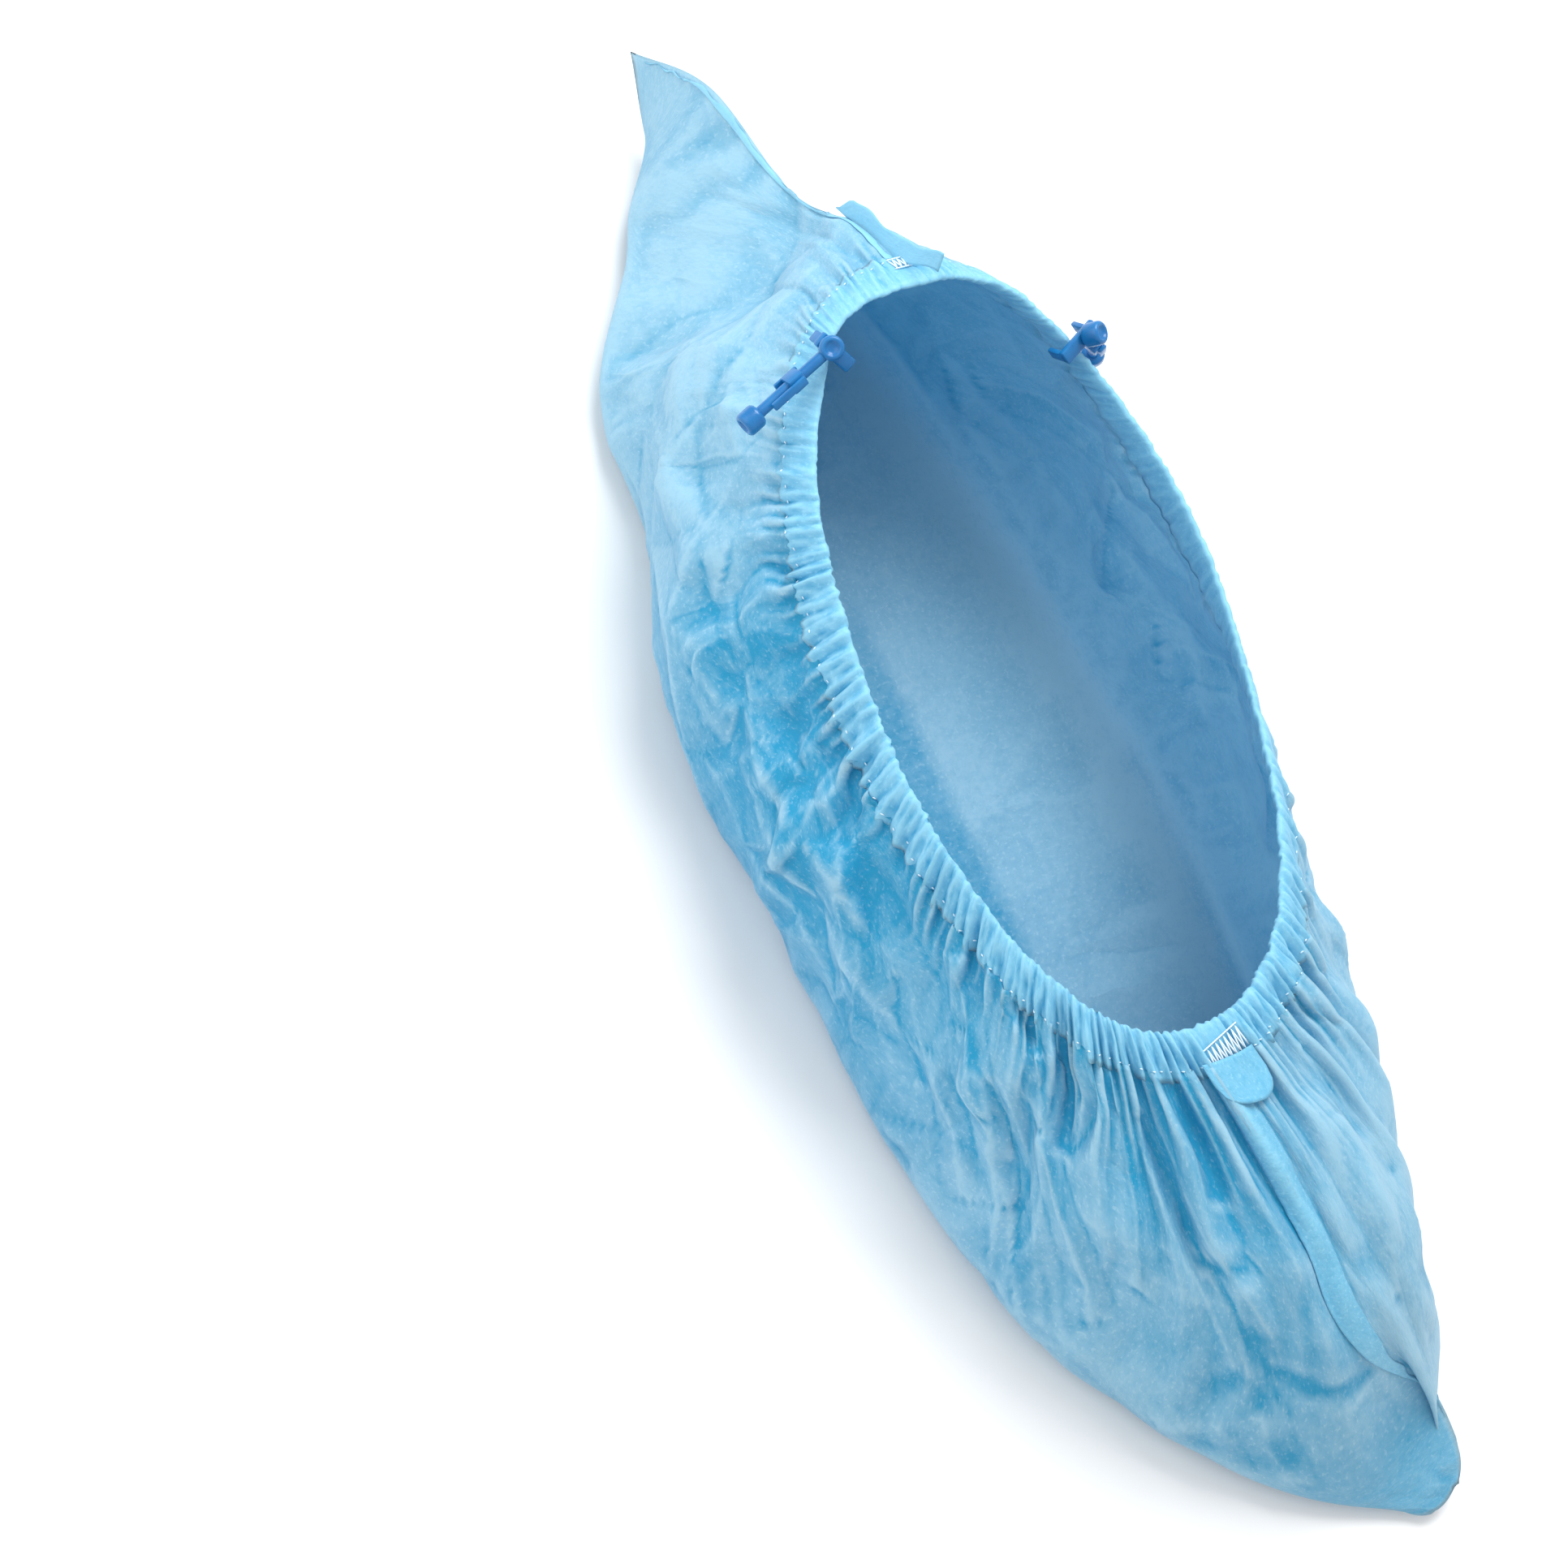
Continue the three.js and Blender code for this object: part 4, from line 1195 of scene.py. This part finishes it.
def add_knob(mesh):
    """Turned knob on the x axis with its dimple towards +x. Returns its corners."""
    spots = [mesh.verts.new((along, radius, 0)) for radius, along in KNOB_PROFILE]
    lines = [mesh.edges.new(pair) for pair in zip(spots, spots[1:])]
    before = set(mesh.verts) - set(spots)
    bmesh.ops.spin(
        mesh, geom=spots + lines, cent=(0, 0, 0), axis=(1, 0, 0), angle=2 * math.pi, steps=KNOB_STEPS,
        use_merge=True,
    )
    made = [corner for corner in mesh.verts if corner not in before]
    bmesh.ops.remove_doubles(mesh, verts=made, dist=WELD_GAP)
    return [corner for corner in mesh.verts if corner not in before]


def add_box(mesh, low, high, rounding):
    made = bmesh.ops.create_cube(mesh, size=1)["verts"]
    low, high = Vector(low), Vector(high)
    bmesh.ops.scale(mesh, vec=high - low, verts=made)
    bmesh.ops.translate(mesh, vec=(low + high) / 2, verts=made)
    edges = list(dict.fromkeys(edge for corner in made for edge in corner.link_edges))
    rounded = bmesh.ops.bevel(
        mesh, geom=edges, offset=rounding, offset_type="OFFSET", segments=2, profile=0.5,
        affect="EDGES", material=-1,
    )
    kept = [corner for corner in made if corner.is_valid]
    return list(dict.fromkeys(kept + [corner for face in rounded["faces"] for corner in face.verts]))


print("points of a knob's profile:", len(KNOB_PROFILE))

# %% Mould the clips
Clip = namedtuple("Clip", ("name", "flat", "side", "bar"))
CLIPS = (
    Clip("near_clip", 58, NEAR, (-0.87, -0.34, -0.36)),
    Clip("far_clip", 88, FAR, (0.52, 0.1, -0.85)),
)
UPPER_KNOB = Vector((3.6, 0, 5.6))
KNOB_LEAN, KNOB_SIDE = Vector((0.5, 0, 0.85)), Vector((0, 1, 0))
CLIP_RISE, CLIP_SWAY, SHARP_ANGLE = 0.4, 0.6, math.radians(40)
BAR_BOXES = {
    "collar": ((8.6, -1.9, -1.7), (12.4, 1.9, 1.7), 0.35),
    "long tab": ((9, 2.1, -0.7), (18.2, 3, 1.1), 0.25),
    "short tab": ((8, -2.9, -0.7), (14.2, -2.1, 1.1), 0.25),
    "root of the tabs": ((9, -2.6, -0.9), (11.5, 2.6, 0.9), 0.3),
}
GRIP_BOXES = {
    "block": ((-4.6, -1.7, 2.4), (6, 1.7, 4.2), 0.5),
    "inner finger": ((-4.6, -1.3, -1.8), (-3.4, 1.3, 3.8), 0.3),
    "outer finger": ((3.4, -1.3, -1.8), (4.6, 1.3, 3.8), 0.3),
}


def add_boxes(mesh, boxes):
    return [corner for box in boxes.values() for corner in add_box(mesh, *box)]


def mould_clip(clip):
    mesh = bmesh.new()
    middle, up, out = edge_frame(clip.flat, clip.side)
    top = middle + up * (CLIP_RISE + HEM_HEIGHT) + out * edge_wave(clip.flat, clip.side) * CLIP_SWAY
    along = up.cross(out)
    grip = Matrix.LocRotScale(top, Matrix((out, along, out.cross(along))).transposed(), None)
    on_bar = axes_matrix(Vector(clip.bar), out, grip @ UPPER_KNOB)
    rod = bmesh.ops.create_cone(
        mesh, segments=BAR_SEGMENTS, radius1=BAR_RADIUS, radius2=BAR_RADIUS, depth=KNOB_DISTANCE,
        cap_ends=True,
    )["verts"]
    bmesh.ops.rotate(mesh, cent=(0, 0, 0), matrix=Matrix.Rotation(math.pi / 2, 3, "Y"), verts=rod)
    bmesh.ops.translate(mesh, vec=(KNOB_DISTANCE / 2, 0, 0), verts=rod)
    lower = add_knob(mesh)
    bmesh.ops.translate(mesh, vec=(KNOB_DISTANCE, 0, 0), verts=lower)
    upper = add_knob(mesh)
    bmesh.ops.transform(mesh, matrix=axes_matrix(KNOB_LEAN, KNOB_SIDE, UPPER_KNOB), verts=upper)
    bmesh.ops.transform(mesh, matrix=on_bar, verts=rod + lower + add_boxes(mesh, BAR_BOXES))
    bmesh.ops.transform(mesh, matrix=grip, verts=upper + add_boxes(mesh, GRIP_BOXES))
    bmesh.ops.recalc_face_normals(mesh, faces=mesh.faces)
    return mesh


clips = [new_object(clip.name, mould_clip(clip)) for clip in CLIPS]
for clip in clips:
    clip.data.set_sharp_from_angle(angle=SHARP_ANGLE)
    print(clip.name, "faces:", len(clip.data.polygons))

# %% [markdown]
# ## Finishes
# Spunbond nonwoven is a thin mat of fibres with pressed bond points. Its colour goes from pale to dense
# with the fullness and the painted shade measured above and is mottled by the uneven mat. Painted shade
# darkens the lines in the crumples' valleys and a painted highlight pales those on their ridges, and pale
# flecks are partly white fibres and partly painted glints. Light shines through it. A small class lets
# shader maths be written as plain arithmetic, which is easier to read than rows of linked nodes.

# %% Shader arithmetic
class Wire:
    """One output socket of a material. Arithmetic on wires adds the nodes for it."""

    def __init__(self, tree, socket=None):
        self.tree = tree
        self.socket = socket

    def node(self, kind, settings, values, output=0):
        made = self.tree.nodes.new(kind)
        for name, value in settings.items():
            setattr(made, name, value)
        for name, value in values.items():
            if isinstance(value, Wire):
                self.tree.links.new(value.socket, made.inputs[name])
            else:
                made.inputs[name].default_value = value
        return Wire(self.tree, made.outputs[output])

    def math(self, operation, *values):
        return self.node("ShaderNodeMath", {"operation": operation}, dict(enumerate(values)))

    def __add__(self, other):
        return self.math("ADD", self, other)

    def __radd__(self, other):
        return self.math("ADD", other, self)

    def __sub__(self, other):
        return self.math("SUBTRACT", self, other)

    def __rsub__(self, other):
        return self.math("SUBTRACT", other, self)

    def __mul__(self, other):
        return self.math("MULTIPLY", self, other)

    def __rmul__(self, other):
        return self.math("MULTIPLY", other, self)

    def clamped(self):
        return self.node("ShaderNodeClamp", {}, {"Value": self})

    def between(self, low, high):
        """Colour between two colours, by the colour sockets of a Mix node."""
        return self.node("ShaderNodeMix", {"data_type": "RGBA"}, {0: self, 6: low, 7: high}, 2)

    def show(self):
        """Makes this shader the surface of its material."""
        output = self.tree.nodes.new("ShaderNodeOutputMaterial")
        self.tree.links.new(self.socket, output.inputs["Surface"])


def new_material(name):
    material = bpy.data.materials.new(name)
    material.use_nodes = True
    tree = material.node_tree
    tree.nodes.clear()
    return material, Wire(tree)


def noise_of(start, place, scale, detail=2, roughness=0.5):
    """Noise of about 0 to 1 at a scale given in waves per metre."""
    values = {"Vector": place, "Scale": scale, "Detail": detail, "Roughness": roughness}
    return start.node("ShaderNodeTexNoise", {"noise_dimensions": "2D"}, values)


print("shader arithmetic is ready")

# %% Nonwoven
BEND_SCALE, BEND_REACH = 40, 0.012
CRUMPLE_SCALE, CRUMPLE_STRETCH, PAINTED_LINE_SHARPNESS = 48, (1, 0.6, 1), 22
SUNKEN_SCALE, CLOUD_SCALE, UNEVEN_SCALE, FIBRE_SCALE = 20, 70, 130, 420
FLECK_SCALE, FLECK_LIMIT, FLECK_SHARPNESS, BOND_SCALE = 900, 0.62, 9, 850
CLOUD_SHARE, FIBRE_SHARE, FLECK_AND_GLINT_SHARE, PAINTED_LINE_SHARE = 0.25, 0.6, 0.3, 0.5
CRUMPLE_RISE, UNEVEN_RISE, FIBRE_RISE, BOND_RISE = 10, 0.25, 0.09, 0.06
BUMP_STRENGTH, CLOTH_ROUGHNESS, FIBRE_ROUGHNESS = 0.7, 0.52, 0.3


def crumple_cells(start, blank_map):
    """Distance from the lines of a bent net, which is drawn out across the blank."""
    flat_noise = {"noise_dimensions": "2D"}
    bend = start.node("ShaderNodeTexNoise", flat_noise, {"Vector": blank_map, "Scale": BEND_SCALE}, "Color")
    add_bend = {0: bend, 1: (BEND_REACH,) * 3, 2: blank_map}
    bent = start.node("ShaderNodeVectorMath", {"operation": "MULTIPLY_ADD"}, add_bend)
    long = start.node("ShaderNodeVectorMath", {"operation": "MULTIPLY"}, {0: bent, 1: CRUMPLE_STRETCH})
    edges = {"feature": "DISTANCE_TO_EDGE", "voronoi_dimensions": "2D"}
    return start.node("ShaderNodeTexVoronoi", edges, {"Vector": long, "Scale": CRUMPLE_SCALE})


def nonwoven(name, pale, dense, glow, glow_share):
    """Cloth material. Glow is the colour of light that shines through."""
    material, start = new_material(name)
    blank_map = start.node("ShaderNodeUVMap", {"uv_map": "blank"}, {})
    fullness = start.node("ShaderNodeAttribute", {"attribute_name": "fullness"}, {}, "Fac")
    crumple = crumple_cells(start, blank_map)
    sunken = noise_of(start, blank_map, SUNKEN_SCALE) - 0.5
    # Painted crease lines: dark along the crumples' valleys as painted shade and pale along their ridges as a
    # painted highlight, where the bump sinks and raises them.
    lines = (1 - crumple * PAINTED_LINE_SHARPNESS).clamped() * sunken
    clouds = noise_of(start, blank_map, CLOUD_SCALE, detail=4, roughness=0.7) - 0.5
    fibres = noise_of(start, blank_map, FIBRE_SCALE, detail=3, roughness=0.8)
    specks = noise_of(start, blank_map, FLECK_SCALE, detail=1, roughness=0.6)
    # Pale flecks: partly white fibres, partly painted glints of the bond points.
    flecks_and_glints = ((specks - FLECK_LIMIT) * FLECK_SHARPNESS).clamped()
    uneven_mat = noise_of(start, blank_map, UNEVEN_SCALE, detail=3, roughness=0.55)
    flat_cells = {"voronoi_dimensions": "2D"}
    bonds = start.node("ShaderNodeTexVoronoi", flat_cells, {"Vector": blank_map, "Scale": BOND_SCALE})
    mat = clouds * CLOUD_SHARE + (fibres - 0.5) * FIBRE_SHARE
    # The colour takes the painted shade carried in the fullness, the painted crease lines and the painted
    # glints.
    share = (fullness + (mat - flecks_and_glints * FLECK_AND_GLINT_SHARE + lines * PAINTED_LINE_SHARE)).clamped()
    large = crumple * sunken * CRUMPLE_RISE + uneven_mat * UNEVEN_RISE
    height = large + fibres * FIBRE_RISE + bonds * BOND_RISE
    bump = start.node("ShaderNodeBump", {}, {"Height": height, "Strength": BUMP_STRENGTH, "Distance": MM})
    body = start.node("ShaderNodeBsdfPrincipled", {}, {
        "Base Color": share.between(pale, dense),
        "Roughness": CLOTH_ROUGHNESS + (fibres - 0.5) * FIBRE_ROUGHNESS,
        "Normal": bump, "IOR": 1.4, "Sheen Weight": 0.15,
    })
    through = start.node("ShaderNodeBsdfTranslucent", {}, {"Color": glow, "Normal": bump})
    start.node("ShaderNodeMixShader", {}, {0: glow_share, 1: body, 2: through}).show()
    return material


PALE, DENSE = (0.4, 0.69, 0.83, 1), (0.015, 0.36, 0.6, 1)
PALE_DOUBLED, DENSE_DOUBLED = (0.3, 0.68, 0.88, 1), (0.02, 0.36, 0.64, 1)
GLOW = (0.22, 0.62, 0.86, 1)
cloth_finish = nonwoven("single_cloth", PALE, DENSE, GLOW, glow_share=0.3)
doubled_finish = nonwoven("doubled_cloth", PALE_DOUBLED, DENSE_DOUBLED, GLOW, glow_share=0.2)
print("cloth finishes:", cloth_finish.name, doubled_finish.name)

# %% Plastic and thread
ROUGHNESS_DRIFT = 0.15


def plain_finish(name, low, high, roughness, scale):
    """Even material whose colour and roughness drift a little."""
    material, start = new_material(name)
    place = start.node("ShaderNodeTexCoord", {}, {}, "Object")
    drift = noise_of(start, place, scale, detail=3)
    start.node("ShaderNodeBsdfPrincipled", {}, {
        "Base Color": drift.between(low, high),
        "Roughness": roughness + (drift - 0.5) * ROUGHNESS_DRIFT,
        "IOR": 1.49,
    }).show()
    return material


PLASTIC_BLUES = (0.004, 0.11, 0.34, 1), (0.015, 0.20, 0.48, 1)
THREAD_WHITES = (0.62, 0.80, 0.90, 1), (0.88, 0.94, 0.98, 1)
plastic_finish = plain_finish("moulded_plastic", *PLASTIC_BLUES, roughness=0.28, scale=180)
thread_finish = plain_finish("sewing_thread", *THREAD_WHITES, roughness=0.7, scale=900)


def finish_with(piece, material):
    piece.data.materials.clear()
    piece.data.materials.append(material)


FINISHES = (
    (cloth_finish, [cover]), (doubled_finish, [hem, *bands]),
    (plastic_finish, clips), (thread_finish, [stitches, tacks]),
)
for material, pieces in FINISHES:
    for piece in pieces:
        finish_with(piece, material)
print("finished pieces:", sum(len(pieces) for _, pieces in FINISHES))

# %% [markdown]
# ## Floor and light
# The cover stands on a plain pale floor under soft light. One large lamp gives the folds their form, a
# second one opens the shadows, and a bright world keeps the whole picture clean.

# %% Set the floor and the lights
FLOOR_LEVEL, FLOOR_REACH = -0.4, 4000
FLOOR_WHITES = (0.86, 0.86, 0.87, 1), (0.9, 0.9, 0.9, 1)
WORLD_STRENGTH = 0.78


def lay_floor():
    mesh = bmesh.new()
    bmesh.ops.create_grid(mesh, x_segments=1, y_segments=1, size=FLOOR_REACH)
    bmesh.ops.translate(mesh, vec=(0, 0, FLOOR_LEVEL), verts=mesh.verts)
    return new_object("floor", mesh)


def hang_lamp(name, place, size, power):
    lamp_data = bpy.data.lights.new(name, "AREA")
    lamp_data.size = size
    lamp_data.energy = power
    lamp = bpy.data.objects.new(name, lamp_data)
    lamp.location = place
    lamp.rotation_euler = Vector(place).to_track_quat("Z", "Y").to_euler()
    bpy.context.scene.collection.objects.link(lamp)
    return lamp


floor = lay_floor()
finish_with(floor, plain_finish("floor", *FLOOR_WHITES, roughness=0.8, scale=3))
key = hang_lamp("key", (0.3, 0.55, 1.1), size=0.7, power=13)
fill = hang_lamp("fill", (-0.9, 0.4, 0.7), size=1.2, power=5)

world = bpy.data.worlds.new("studio")
world.use_nodes = True
sky = world.node_tree.nodes["Background"]
sky.inputs["Color"].default_value = (1, 1, 1, 1)
sky.inputs["Strength"].default_value = WORLD_STRENGTH
bpy.context.scene.world = world
bpy.context.scene.view_settings.view_transform = "Standard"
print("lamps:", key.name, fill.name)

# %% [markdown]
# ## Attaching the pieces
# Each piece rides on the one body of the object, and all but the stitches and tacks stand for a solid, which
# they replace.

# %% Name what each piece stands for
ROLES = (
    (cover, "cover_shell", "nonwoven"), (hem, "elastic_hem", "nonwoven_doubled"),
    (bands[0], "toe_seam", "nonwoven_doubled"), (bands[1], "heel_seam", "nonwoven_doubled"),
    (clips[0], "hanging_clip_near", "clip_plastic"), (clips[1], "hanging_clip_far", "clip_plastic"),
)
for piece, node, slot in ROLES:
    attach(piece, "root")
    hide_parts(node)
for piece in (stitches, tacks):
    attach(piece, "root")
print("pieces that stand for a solid:", len(ROLES))
